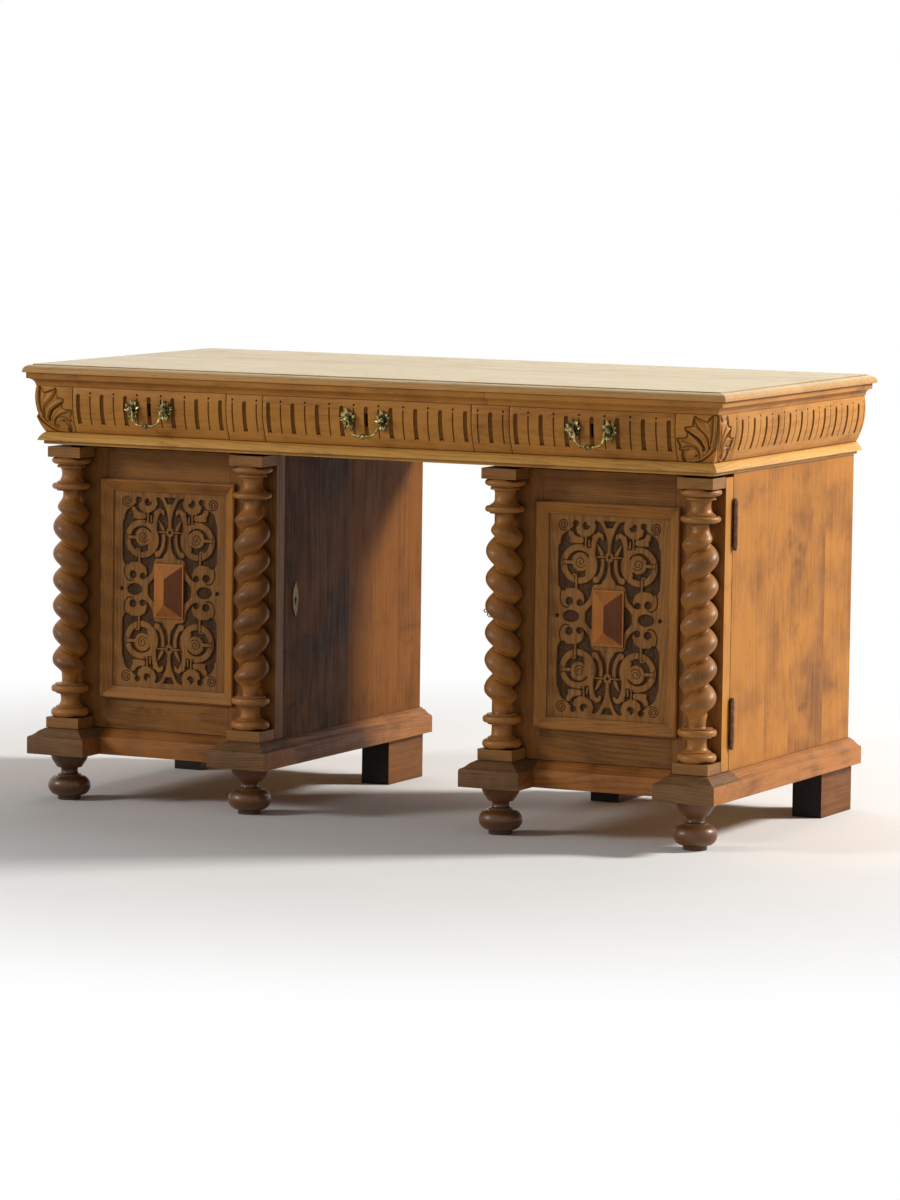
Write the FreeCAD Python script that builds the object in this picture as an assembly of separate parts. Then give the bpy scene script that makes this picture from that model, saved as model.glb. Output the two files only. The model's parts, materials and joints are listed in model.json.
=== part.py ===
import FreeCAD, Part
import math
import os

from FreeCAD import Vector

# Overall sizes of the desk
desk_width = 1371.0
desk_depth = 700.0
desk_height = 790.0

# Clearances and the one overrun that all cuts share
overrun = 5.0
drawer_gap = 0.8
glide_gap = 0.4
door_gap = 0.5
door_sill_gap = 1.0
pin_clearance = 0.05
knuckle_gap = 0.3
bolt_clearance = 0.3
staple_clearance = 1.2
drawer_lift = 0.3
fix_tolerance = 0.001

# Desktop
top_thickness = 15.5
top_board_count = 4
nosing_reach = 14.3
nosing_drop = 11.0
nosing_step = 2.0
top_overhang_side = 33.1
top_overhang_front = 29.5
top_overhang_back = 14.0

# Cornice under the desktop
cornice_height = 23.5
cornice_fillet_reach = 26.5
cornice_fillet_height = 10.5
cove_radius = 13.0
splice_place = 232.5
splice_gap = 0.2

# Convex frieze and its flutes
frieze_height = 83.0
frieze_bulge = 17.0
frieze_bulge_height = 61.0
frieze_thickness = 22.0
corner_block_size = 64.0
flute_width = 8.0
flute_depth = 4.0
flute_bottom = 16.0
flute_height = 55.0
fork_height = 3.0
line_width = 2.4
line_depth = 2.0
line_height = 52.0
dot_diameter = 3.4
dot_gap = 3.5
outer_drawer_flutes = 13
centre_drawer_flutes = 17
stile_flutes = 3
side_flutes = 24

# Case between the frieze and the pedestals
moulding_height = 22.0
moulding_reach = 11.5
moulding_lip = 6.5
moulding_set_back = 2.5
moulding_swell_share = (0.64, 0.55)
rail_width = 60.0
partition_thickness = 18.0
guide_height = 20.0
case_back_thickness = 22.0

# Drawers
drawer_side_thickness = 12.0
drawer_side_height = 72.0
drawer_room_behind = 52.5
drawer_bottom_thickness = 6.0
drawer_groove_depth = 5.0
drawer_groove_height = 8.0
drawer_travel = 400.0

# Drawer locks
keyhole_height = 23.0
keyhole_width = 7.0
keyhole_centre_drop = 35.5
lock_width = 44.0
lock_height = 52.0
lock_depth = 11.0
lock_wall = 1.5
drawer_bolt_width = 16.0
drawer_bolt_height = 30.0
drawer_bolt_thickness = 5.0
drawer_bolt_throw = 9.0

# Drawer handles
handle_spacing = 65.0
handle_drop = 35.0
rose_width = 27.0
rose_height = 36.0
rose_thickness = 2.5
rose_lobes = 9
rose_lobe_share = 0.16
rose_waist_share = 0.22
handle_bolt_radius = 2.5
handle_nut_radius = 6.0
handle_nut_thickness = 4.0
post_radius = 4.5
post_length = 13.0
bail_wire_radius = 1.75
bail_pin_radius = 2.0
bail_drop = 30.0
bail_bend_radius = 6.0
bail_knob_radius = 4.5
bail_shoulder_share = 0.45
bail_foot_share = 0.30
bend_share = 0.45

# Pedestals
kneehole_share = 0.32756
pedestal_side_thickness = 20.0
pedestal_board_thickness = 18.0
pedestal_back_thickness = 12.0
pedestal_back_inset = 7.0
shelf_thickness = 16.0
shelf_share = 0.485
shelf_set_back = 30.0
cleat_height = 24.0
cleat_thickness = 14.0

# Doors
door_thickness = 32.0
door_projection = 61.5
door_head_gap = 6.5
door_edge_inset = 0.4
panel_margin_side = 81.5
panel_margin_height = 54.5
panel_moulding_face = 22.0
panel_moulding_lap = 12.0
panel_moulding_proud = 8.0
panel_bead_width = 8.0
panel_hollow_share = (0.72, 0.10)
panel_moulding_edge = 2.0
panel_sink = 4.5
panel_thickness = 12.0
panel_groove_depth = 8.0
panel_edge_gap = 1.0
tenon_length = 30.0
tenon_shoulder = 12.0
boss_width = 60.0
boss_height = 98.0
boss_base_thickness = 3.0
boss_base_margin = 2.5
boss_rise = 19.0
boss_ridge_length = 46.0

# Twisted columns on the doors
block_width = 66.0
block_depth = 57.0
block_inset = 0.6
cap_block_height = 17.5
base_block_height = 19.0
column_torus_radius = 35.5
column_neck_radius = 16.0
column_fillet_radius = 27.0
column_torus_height = 16.0
column_fillet_height = 3.0
column_flare_height = 16.0
column_neck_height = 14.0
column_ring_height = 14.0
column_ring_radius = 34.0
shaft_neck_radius = 16.0
shaft_neck_height = 10.0
twist_radius = 34.5
twist_groove_radius = 16.5
twist_turns = 7.19
twist_start_share = 0.041
twist_fade_height = 25.0
twist_softness = 0.54
twist_fullness = 0.62
twist_columns = 24
twist_rows_per_turn = 10

# Plinths and feet
foot_height = 85.0
plinth_band_height = 28.5
plinth_slope_height = 17.0
plinth_reach = 23.0
plinth_block_width = 115.0
plinth_block_reach = 27.5
plinth_recess_reach = 22.5
plinth_wall = 40.0
# Steps of the plinth's moulding from its arris, as shares of its reach and of its height
plinth_slope_shares = [(0, 0), (0.04, 0.14), (0.13, 0.22), (0.27, 0.28), (0.44, 0.45),
                       (0.64, 0.70), (0.80, 0.84), (0.88, 0.88), (1, 1)]
bun_radius = 38.5
bun_pad_radius = 21.0
bun_pad_height = 7.5
bun_top_height = 43.5
bun_ring_height = 3.0
bun_throat_radius = 19.0
bun_neck_radius = 15.0
bun_neck_height = 12.5
bun_bowl_radius = 22.5
bun_collar_radius = 34.0
# Points of the bowl over the neck, as shares of its growth and of its height
bun_bowl_shares = [(0, 0), (0.4, 0.26), (0.75, 0.5), (1, 0.8), (1, 1)]
rear_foot_width = 56.0
rear_foot_depth = 144.0
rear_foot_inset = 15.5

# Door hinges
hinge_length = 78.0
hinge_inset = 82.0
hinge_knuckle_radius = 4.2
hinge_pin_radius = 2.0
hinge_axis_reach = 4.6
hinge_leaf_width = 20.0
hinge_leaf_thickness = 1.5
hinge_finial_radius = 3.6
hinge_finial_height = 6.0

# Door locks, staples, escutcheons and key
door_lock_height = 66.0
door_lock_depth = 56.0
door_lock_thickness = 13.0
door_lock_backset = 41.0
door_lock_drop = 7.5
staple_width = 9.0
staple_thickness = 4.0
staple_hole_length = 7.5
staple_hole_width = 4.8
door_bolt_length = 6.0
door_bolt_thickness = 3.6
door_bolt_reach = 16.0
door_bolt_throw = 12.0
door_bolt_tail_height = 12.0
escutcheon_height = 64.0
escutcheon_width = 22.0
escutcheon_thickness = 1.5
key_shaft_radius = 2.5
key_loop_radius = 6.2
key_ring_radius = 3.6
key_bow_wire = 1.8
key_bow_reach = 49.0
key_bit_height = 9.0
key_bit_width = 3.0
key_hole_clearance = 0.6

# Levels above the floor
z_top_under = desk_height - top_thickness
z_frieze_top = z_top_under - cornice_height
z_frieze_bottom = z_frieze_top - frieze_height
z_case_under = z_frieze_bottom - moulding_height
z_plinth_arris = foot_height + plinth_band_height
z_pedestal_bottom = z_plinth_arris + plinth_slope_height
z_door_bottom = z_pedestal_bottom + door_sill_gap
z_door_top = z_case_under - door_head_gap
z_bulge = z_frieze_bottom + frieze_bulge_height

# Faces of the case in plan, with the middle of the desktop at zero
case_x = desk_width / 2 - top_overhang_side
case_front = -desk_depth / 2 + top_overhang_front
case_back = desk_depth / 2 - top_overhang_back
door_front = case_front + door_projection
side_front = door_front + door_thickness + door_gap
door_back = door_front + door_thickness
pedestal_outer = case_x - door_edge_inset - door_gap
pedestal_back = case_back - pedestal_back_inset
pedestal_inner_place = case_x * kneehole_share
door_inner = pedestal_inner_place + door_edge_inset
door_outer = pedestal_outer - door_edge_inset
door_middle = (door_inner + door_outer) / 2
door_centre_z = (z_door_bottom + z_door_top) / 2
door_lock_centre = door_centre_z - door_lock_drop
panel_moulding_width = door_outer - door_inner - 2 * panel_margin_side
panel_moulding_height = z_door_top - z_door_bottom - 2 * panel_margin_height
shelf_height = shelf_share * (z_case_under - z_pedestal_bottom)

# Drawer divisions, counted in flutes from the middle of the desk
outer_drawer_end = case_x - corner_block_size
flute_pitch = outer_drawer_end / (centre_drawer_flutes / 2 + stile_flutes + outer_drawer_flutes)
centre_drawer_edge = centre_drawer_flutes * flute_pitch / 2
outer_drawer_start = centre_drawer_edge + stile_flutes * flute_pitch
drawer_side_length = (case_back - case_back_thickness - case_front - frieze_thickness
                      - drawer_room_behind)
handle_z = z_frieze_top - handle_drop
keyhole_z = z_frieze_top - keyhole_centre_drop
rail_back = desk_depth / 2 - nosing_reach / 2

# Slot between the two front top rails, which the drawer lock bolts rise into
lock_slot_back = case_front + frieze_thickness
lock_slot_front = lock_slot_back - lock_wall - drawer_bolt_thickness - 2 * bolt_clearance

# Handle depth, from the frieze face out to the front of the hanging bail
frieze_arc_radius = (frieze_bulge_height**2 + frieze_bulge**2) / (2 * frieze_bulge)
frieze_top_reach = frieze_bulge - frieze_arc_radius + math.sqrt(
    frieze_arc_radius**2 - (frieze_height - frieze_bulge_height)**2)
rose_back = case_front - frieze_bulge
bail_y = rose_back - rose_thickness - post_length + bail_pin_radius + post_radius / 2
handle_front = bail_y - bail_knob_radius
origin_shift = (-desk_depth / 2 - min(handle_front, -desk_depth / 2)) / 2

X_AXIS = Vector(1, 0, 0)
Y_AXIS = Vector(0, 1, 0)
Z_AXIS = Vector(0, 0, 1)
CENTRE = Vector(0, 0, 0)


def box(x0, x1, y0, y1, z0, z1):
    """A block between two corners."""
    return Part.makeBox(x1 - x0, y1 - y0, z1 - z0, Vector(x0, y0, z0))


def rod(radius, start, end):
    """A round bar from one point to another."""
    line = end - start
    return Part.makeCylinder(radius, line.Length, start, line)


def left_of(shape):
    """The left-hand twin of a shape on the right of the desk."""
    return shape.mirror(CENTRE, X_AXIS)


def both_sides(shapes):
    """The shapes given, with their left-hand twins."""
    return shapes + [left_of(shape) for shape in shapes]


def outline(start, steps):
    """A closed wire of straight steps, given by their end, and arcs, given by middle and end."""
    edges = []
    here = start
    for step in steps + [(start,)]:
        end = step[-1]
        if len(step) == 1:
            if (end - here).Length > pin_clearance:
                edges.append(Part.LineSegment(here, end).toShape())
        else:
            edges.append(Part.Arc(here, step[0], end).toShape())
        here = end
    return Part.Wire(edges)


def prism(points, depth):
    """A straight-sided solid on a polygon."""
    return Part.Face(Part.makePolygon(points + [points[0]])).extrude(depth)


def turned(profile, centre):
    """A solid of revolution about an upright axis, from a profile of radius and height."""
    points = [centre + Vector(radius, 0, height) for radius, height in profile]
    wire = Part.makePolygon(points + [points[0]])
    return Part.Face(wire).revolve(centre, Z_AXIS, 360)


def save(name, shapes):
    """Write the solids of one node, moved so that the whole desk is centred on its origin."""
    solids = []
    for shape in shapes:
        solids.extend(shape.Solids)
    node = Part.makeCompound(solids)
    node.translate(Vector(0, origin_shift, 0))
    node.exportStep("parts/" + name + ".step")
    print(name, len(solids), round(node.Volume / 1000), all(s.isValid() for s in solids))


# Mouldings that run along the edges of the case

def moulding_run(section, reach, depth, start, end, outward, start_mitre, end_mitre):
    """A bar of one section between two corners, with mitred or square ends."""
    along = end - start
    length = along.Length
    along.normalize()
    margin = reach + overrun

    def place(out, height):
        return start - along * margin + outward * out + Z_AXIS * height

    bar = Part.Face(section(place)).extrude(along * (length + 2 * margin))

    def corner(out, at_end):
        if at_end:
            return start + along * (length + end_mitre * out) + outward * out
        return start - along * (start_mitre * out) + outward * out

    low = -depth - overrun
    plan = [corner(low, False), corner(margin, False), corner(margin, True), corner(low, True)]
    return bar.common(prism(plan, Z_AXIS * (desk_height + overrun)))


def cornice_section(place):
    """Cove below and fillet above."""
    fillet_bottom = z_top_under - cornice_fillet_height
    cove_out = cornice_fillet_reach - (cornice_height - cornice_fillet_height - cove_radius)
    cove_end = cornice_fillet_reach - cove_radius
    slant = math.sin(math.pi / 4)
    middle = place(cornice_fillet_reach - cove_radius * slant,
                   fillet_bottom - cove_radius + cove_radius * slant)
    return outline(place(0, z_frieze_top), [
        (place(cove_end, z_frieze_top),),
        (place(cove_end, fillet_bottom - cove_radius),),
        (middle, place(cove_out, fillet_bottom)),
        (place(cornice_fillet_reach, fillet_bottom),),
        (place(cornice_fillet_reach, z_top_under),),
        (place(0, z_top_under),)])


def lower_moulding_section(place):
    """Swelling bevel over a small set-back lip."""
    lip_top = z_case_under + moulding_lip
    bevel = z_frieze_bottom - lip_top
    middle = place(moulding_reach * moulding_swell_share[0],
                   lip_top + bevel * moulding_swell_share[1])
    return outline(place(0, z_case_under), [
        (place(moulding_set_back, z_case_under),),
        (place(moulding_set_back, lip_top),),
        (place(moulding_reach, lip_top),),
        (middle, place(0, z_frieze_bottom))])


def nosing_cutter_section(place):
    """What is cut from the desktop's edge: a small step and a falling round."""
    step_z = desk_height - nosing_step
    edge_z = desk_height - nosing_drop
    slant = math.sin(math.pi / 4)
    middle = place(-nosing_reach * (1 - slant), edge_z + (step_z - edge_z) * slant)
    return outline(place(-nosing_reach, desk_height + overrun), [
        (place(-nosing_reach, step_z),),
        (middle, place(0, edge_z)),
        (place(overrun, edge_z),),
        (place(overrun, desk_height + overrun),)])


def build_desktop():
    """Edge-glued boards with one moulded edge all round."""
    x = desk_width / 2
    y = desk_depth / 2
    slab = box(-x, x, -y, y, z_top_under, desk_height)
    corners = [Vector(-x, -y, 0), Vector(x, -y, 0), Vector(x, y, 0), Vector(-x, y, 0)]
    outwards = [-Y_AXIS, X_AXIS, Y_AXIS, -X_AXIS]
    cutters = []
    for index, outward in enumerate(outwards):
        cutters.append(moulding_run(nosing_cutter_section, overrun, nosing_reach,
                                    corners[index], corners[index - 3], outward, 1, 1))
    slab = slab.cut(cutters)
    board = desk_depth / top_board_count
    boards = []
    for index in range(top_board_count):
        low = -y + index * board
        boards.append(slab.common(box(-x - overrun, x + overrun, low, low + board,
                                      z_top_under - overrun, desk_height + overrun)))
    save("desktop", boards)


def build_cornice():
    """Front run in two spliced lengths, and side runs cut square at the back."""
    front_left = Vector(-case_x, case_front, 0)
    front_right = Vector(case_x, case_front, 0)
    splice = Vector(splice_place, case_front, 0)
    gap = X_AXIS * splice_gap
    depth = 0
    reach = cornice_fillet_reach
    save("cornice_front", [
        moulding_run(cornice_section, reach, depth, front_left, splice - gap, -Y_AXIS, 1, 0),
        moulding_run(cornice_section, reach, depth, splice + gap, front_right, -Y_AXIS, 0, 1)])
    side = moulding_run(cornice_section, reach, depth, front_right,
                        Vector(case_x, rail_back, 0), X_AXIS, 1, 0)
    save("cornice_sides", both_sides([side]))


def build_lower_moulding():
    """Bevelled moulding at the foot of the frieze, on the front and sides."""
    front_left = Vector(-case_x, case_front, 0)
    front_right = Vector(case_x, case_front, 0)
    front = moulding_run(lower_moulding_section, moulding_reach, 0,
                         front_left, front_right, -Y_AXIS, 1, 1)
    side = moulding_run(lower_moulding_section, moulding_reach, 0, front_right,
                        Vector(case_x, case_back, 0), X_AXIS, 1, 0)
    save("lower_moulding", [front] + both_sides([side]))


# The convex frieze

def frieze_section(place, thickness):
    """Board section with the swelling face outward."""
    return outline(place(-thickness, z_frieze_bottom), [
        (place(0, z_frieze_bottom),),
        (place(frieze_bulge, z_bulge), place(frieze_top_reach, z_frieze_top)),
        (place(-thickness, z_frieze_top),)])


def front_bar(x0, x1, thickness):
    """A length of frieze board along the front."""
    def place(out, height):
        return Vector(x0, case_front - out, height)
    return Part.Face(frieze_section(place, thickness)).extrude(X_AXIS * (x1 - x0))


def side_bar(y0, y1, thickness):
    """A length of frieze board along the right side."""
    def place(out, height):
        return Vector(case_x + out, y0, height)
    return Part.Face(frieze_section(place, thickness)).extrude(Y_AXIS * (y1 - y0))


def surface_band(depth, width):
    """The skin of the frieze to a given depth, from the face outward, for one flute."""
    radius = frieze_arc_radius - depth
    centre_out = frieze_bulge - frieze_arc_radius
    reach = frieze_bulge + overrun

    def place(out, height):
        return Vector(-width, case_front - out, height)

    def on_arc(height):
        rise = height - z_bulge
        return place(centre_out + math.sqrt(radius**2 - rise**2), height)

    low = z_frieze_bottom + flute_bottom / 2
    return Part.Face(outline(place(reach, low), [
        (on_arc(low),),
        (on_arc(z_bulge), on_arc(z_frieze_top)),
        (place(reach, z_frieze_top),)])).extrude(X_AXIS * (2 * width))


def wide_flute():
    """A round-topped flute with a forked foot, at x zero."""
    half = flute_width / 2
    low = z_frieze_bottom + flute_bottom
    high = low + flute_height

    def place(x, height):
        return Vector(x, case_front + overrun, height)

    wire = outline(place(-half, low), [
        (place(0, low + fork_height),),
        (place(half, low),),
        (place(half, high - half),),
        (place(0, high), place(-half, high - half))])
    slot = Part.Face(wire).extrude(-Y_AXIS * (frieze_bulge + 3 * overrun))
    return slot.common(surface_band(flute_depth, flute_width))


def narrow_flute():
    """A thin cut line and the dot above it, at x zero."""
    low = z_frieze_bottom + flute_bottom
    high = low + line_height
    back = case_front + overrun
    front = case_front - frieze_bulge - 2 * overrun
    line = box(-line_width / 2, line_width / 2, front, back, low, high)
    dot_z = high + dot_gap + dot_diameter / 2
    dot = rod(dot_diameter / 2, Vector(0, back, dot_z), Vector(0, front, dot_z))
    band = surface_band(line_depth, flute_width)
    return Part.makeCompound([line.common(band), dot.common(band)])


def front_flutes(x0, count, wide_first):
    """Wide and narrow flutes in turn along a stretch of the front."""
    wide = wide_flute()
    narrow = narrow_flute()
    tools = []
    for index in range(count):
        tool = wide if (index % 2 == 0) == wide_first else narrow
        tools.extend(tool.translated(Vector(x0 + (index + 1 / 2) * flute_pitch, 0, 0)).Solids)
    return tools


def side_flute_tools():
    """Flutes for the right side, narrow first behind the corner block."""
    start = case_front + corner_block_size
    pitch = (case_back - start) / side_flutes
    wide = wide_flute()
    narrow = narrow_flute()
    tools = []
    for index in range(side_flutes):
        tool = (narrow if index % 2 == 0 else wide).translated(Vector(0, -case_front, 0))
        turned_tool = tool.rotated(CENTRE, Z_AXIS, 90)
        place = Vector(case_x, start + (index + 1 / 2) * pitch, 0)
        tools.extend(turned_tool.translated(place).Solids)
    return tools


def build_frieze():
    """Corner blocks, side boards and the two stiles between the drawers."""
    reach = frieze_bulge + overrun
    along_front = front_bar(outer_drawer_end, case_x + reach, corner_block_size)
    along_side = side_bar(case_front - reach, case_front + corner_block_size, corner_block_size)
    save("frieze_corners", both_sides([along_front.common(along_side)]))
    side = side_bar(case_front + corner_block_size, case_back, frieze_thickness)
    save("frieze_sides", both_sides([side.cut(side_flute_tools())]))
    stile = front_bar(centre_drawer_edge, outer_drawer_start, frieze_thickness)
    save("frieze_stiles", both_sides([stile.cut(front_flutes(centre_drawer_edge, stile_flutes, False))]))


# The case behind the frieze

def build_case():
    """Bottom board, top rails, partitions, guides, back board and the rail above it."""
    inner_x = case_x - frieze_thickness
    save("case_bottom", [box(-case_x, case_x, case_front, case_back,
                             z_case_under, z_frieze_bottom)])
    rails = [
        box(-case_x, case_x, case_front, lock_slot_front, z_frieze_top, z_top_under),
        box(-case_x, case_x, lock_slot_back, case_front + rail_width,
            z_frieze_top, z_top_under),
        box(-case_x, case_x, case_back - rail_width, case_back, z_frieze_top, z_top_under)]
    stile_middle = (centre_drawer_edge + outer_drawer_start) / 2
    half_rail = rail_width / 2
    inner_front = case_front + rail_width
    inner_back = case_back - rail_width
    rails += both_sides([
        box(case_x - rail_width, case_x, inner_front, inner_back, z_frieze_top, z_top_under),
        box(stile_middle - half_rail, stile_middle + half_rail, inner_front, inner_back,
            z_frieze_top, z_top_under)])
    save("top_rails", rails)
    board_front = case_front + frieze_thickness
    board_back = case_back - case_back_thickness
    save("case_back", [
        box(-inner_x, inner_x, board_back, case_back, z_frieze_bottom, z_frieze_top),
        box(-case_x, case_x, case_back, rail_back, z_frieze_top, z_top_under)])
    half = partition_thickness / 2
    partition = box(stile_middle - half, stile_middle + half, board_front, board_back,
                    z_frieze_bottom, z_frieze_top)
    save("drawer_partitions", both_sides([partition]))
    top = z_frieze_bottom + guide_height
    guides = [
        box(centre_drawer_edge, stile_middle - half, board_front, board_back,
            z_frieze_bottom, top),
        box(stile_middle + half, outer_drawer_start, board_front, board_back,
            z_frieze_bottom, top),
        box(outer_drawer_end, inner_x, case_front + corner_block_size, board_back,
            z_frieze_bottom, top)]
    save("drawer_guides", both_sides(guides))


# Drawers, their locks and handles

def build_drawer(name, x0, x1, flutes):
    """One drawer, with its lock and handle."""
    middle = (x0 + x1) / 2
    left = x0 + drawer_gap
    right = x1 - drawer_gap
    front_back = case_front + frieze_thickness
    low = z_frieze_bottom + drawer_lift
    high = z_frieze_top - drawer_gap
    front = front_bar(left, right, frieze_thickness)
    reach = frieze_bulge + overrun
    front = front.common(box(left - overrun, right + overrun, case_front - reach,
                             front_back + overrun, low, high))
    front = front.cut(front_flutes(x0, flutes, True))
    half_lock = lock_width / 2
    lock_bottom = high - lock_height
    front = front.cut(box(middle - half_lock, middle + half_lock, front_back - lock_depth,
                          front_back + overrun, lock_bottom, high + overrun))
    keyhole_box = box(middle - keyhole_width / 2, middle + keyhole_width / 2,
                      case_front - reach, front_back, keyhole_z - keyhole_height / 2,
                      keyhole_z + keyhole_height / 2)
    front = front.cut(keyhole_box)
    for side in (-1, 1):
        x = middle + side * handle_spacing / 2
        front = front.cut(rod(handle_bolt_radius + pin_clearance,
                              Vector(x, case_front - reach, handle_z),
                              Vector(x, front_back + overrun, handle_z)))
    groove_low = low + drawer_groove_height
    groove_high = groove_low + drawer_bottom_thickness
    box_left = left + glide_gap
    box_right = right - glide_gap
    bottom_left = box_left + drawer_side_thickness - drawer_groove_depth
    bottom_right = box_right - drawer_side_thickness + drawer_groove_depth
    side_end = front_back + drawer_side_length
    bottom = box(bottom_left, bottom_right, front_back - drawer_groove_depth,
                 side_end - drawer_side_thickness, groove_low, groove_high)
    front = front.cut(bottom)
    side_top = low + drawer_side_height
    back_board = box(box_left + drawer_side_thickness, box_right - drawer_side_thickness,
                     side_end - drawer_side_thickness, side_end, groove_high, side_top)
    sides = [
        box(box_left, box_left + drawer_side_thickness, front_back, side_end, low, side_top),
        box(box_right - drawer_side_thickness, box_right, front_back, side_end, low, side_top)]
    bottom = bottom.fuse(box(bottom_left, bottom_right, side_end - drawer_side_thickness,
                             side_end, groove_low, groove_high)).removeSplitter()
    sides = [side.cut(bottom) for side in sides]
    save("drawer_" + name + "_front", [front])
    save("drawer_" + name + "_box", sides + [back_board, bottom])
    build_drawer_lock(name, middle, lock_bottom, high, front_back)
    build_handle(name, middle)


def build_drawer_lock(name, middle, lock_bottom, high, front_back):
    """Lock case let into the drawer front, and the bolt that rises from it."""
    half = lock_width / 2
    front = front_back - lock_depth
    case = box(middle - half, middle + half, front, front_back, lock_bottom, high)
    half_bolt = drawer_bolt_width / 2 + bolt_clearance
    bolt_back = front_back - lock_wall
    bolt_front = bolt_back - drawer_bolt_thickness
    case = case.cut(box(middle - half + lock_wall, middle + half - lock_wall,
                        front + lock_wall, bolt_back + bolt_clearance,
                        lock_bottom + lock_wall, high - lock_wall))
    case = case.cut(box(middle - half_bolt, middle + half_bolt, bolt_front - bolt_clearance,
                        bolt_back + bolt_clearance, high - 2 * lock_wall, high + overrun))
    case = case.cut(box(middle - keyhole_width / 2, middle + keyhole_width / 2,
                        front - overrun, front + 2 * lock_wall,
                        keyhole_z - keyhole_height / 2, keyhole_z + keyhole_height / 2))
    save("drawer_" + name + "_lock", [case])
    half_bolt = drawer_bolt_width / 2
    save("drawer_" + name + "_bolt", [box(
        middle - half_bolt, middle + half_bolt, bolt_front, bolt_back,
        high - drawer_bolt_height, high)])


def rose_outline(place):
    """Leaf plate with round lobes, narrower below than above."""
    half = rose_width / 2
    tall = rose_height / 2
    steps = rose_lobes * 8
    points = []
    for index in range(steps):
        angle = 2 * math.pi * index / steps
        lobe = 1 - rose_lobe_share * (1 - math.cos(rose_lobes * angle)) / 2
        waist = 1 + rose_waist_share * min(0, math.sin(angle))
        points.append(place(half * lobe * waist * math.cos(angle), tall * lobe * math.sin(angle)))
    curve = Part.BSplineCurve()
    curve.interpolate(points, PeriodicFlag=True)
    return Part.Wire([curve.toShape()])


def build_handle(name, middle):
    """Two leaf roses with posts, and the drop bail that swings between them."""
    roses = []
    half = handle_spacing / 2
    post_end = rose_back - rose_thickness - post_length
    for side in (-1, 1):
        x = middle + side * half

        def place(across, up):
            return Vector(x + across, rose_back, handle_z + up)

        plate = Part.Face(rose_outline(place)).extrude(-Y_AXIS * rose_thickness)
        nut_face = case_front + frieze_thickness
        nut_end = nut_face + handle_nut_thickness
        stem = rod(post_radius, Vector(x, rose_back, handle_z), Vector(x, post_end, handle_z))
        shank = rod(handle_bolt_radius, Vector(x, rose_back - rose_thickness, handle_z),
                    Vector(x, nut_end, handle_z))
        nut = rod(handle_nut_radius, Vector(x, nut_face, handle_z), Vector(x, nut_end, handle_z))
        nut = nut.cut(rod(handle_bolt_radius, Vector(x, nut_face - overrun, handle_z),
                          Vector(x, nut_end + overrun, handle_z)))
        eye = rod(bail_pin_radius + pin_clearance,
                  Vector(x - 2 * post_radius, bail_y, handle_z),
                  Vector(x + 2 * post_radius, bail_y, handle_z))
        roses += [plate.fuse([stem, shank]).cut(eye), nut]
    save("handle_" + name + "_roses", roses)
    save("handle_" + name + "_bail", [bail(middle)])


def bail(middle):
    """A thin wire in its upright plane, with pins at its ends and a knob at its middle."""
    half = handle_spacing / 2
    pin_end = half + post_radius + bail_wire_radius
    bend = bail_bend_radius
    neck = half - post_radius - bail_wire_radius - pin_clearance
    foot = 2 * bail_wire_radius - bail_drop
    corners = [
        (half, 0), (neck - bend / 2, 0), (neck - bend, -bail_drop * bail_shoulder_share),
        (half * bail_foot_share, foot), (0, foot)]
    points = [Vector(middle + x, bail_y, handle_z + z) for x, z in corners]
    points += [Vector(middle - x, bail_y, handle_z + z) for x, z in corners[-2::-1]]
    path = rounded_path(points, bend)
    section = Part.Wire([Part.makeCircle(bail_wire_radius, points[0], X_AXIS)])
    wire = path.makePipeShell([section], True, True)
    pins = []
    for side in (-1, 1):
        pins.append(rod(bail_pin_radius, Vector(middle + side * pin_end, bail_y, handle_z),
                        Vector(middle + side * neck, bail_y, handle_z)))
    knob_centre = Vector(middle, bail_y, handle_z + foot)
    rim = [knob_centre + X_AXIS * along + Z_AXIS * out
           for out, along in arc_points((0, 0), (bail_knob_radius, bail_knob_radius), -60, 60, 8)]
    rim = [knob_centre + X_AXIS * (rim[0] - knob_centre).x] + rim
    rim.append(knob_centre + X_AXIS * (rim[-1] - knob_centre).x)
    knob = Part.Face(Part.makePolygon(rim + [rim[0]])).revolve(knob_centre, X_AXIS, 360)
    return wire.fuse(pins + [knob])


def rounded_path(points, radius):
    """Straight runs joined by tangent arcs."""
    edges = []
    here = points[0]
    for index in range(1, len(points) - 1):
        before = (points[index - 1] - points[index]).normalize()
        after = (points[index + 1] - points[index]).normalize()
        turn = math.pi - before.getAngle(after)
        if turn < math.pi / 180:
            continue
        shortest = min((points[index] - points[index - 1]).Length,
                       (points[index + 1] - points[index]).Length)
        reach = min(radius * math.tan(turn / 2), shortest * bend_share)
        arc_radius = reach / math.tan(turn / 2)
        start = points[index] + before * reach
        end = points[index] + after * reach
        inward = (before + after).normalize()
        centre = points[index] + inward * (arc_radius / math.cos(turn / 2))
        middle = centre - inward * arc_radius
        edges.append(Part.LineSegment(here, start).toShape())
        edges.append(Part.Arc(start, middle, end).toShape())
        here = end
    edges.append(Part.LineSegment(here, points[-1]).toShape())
    return Part.Wire(edges)


# Pedestals, plinths and feet

def hinge_levels():
    """The middle heights of the two hinges of a door."""
    return (z_door_bottom + hinge_inset, z_door_top - hinge_inset)


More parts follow.
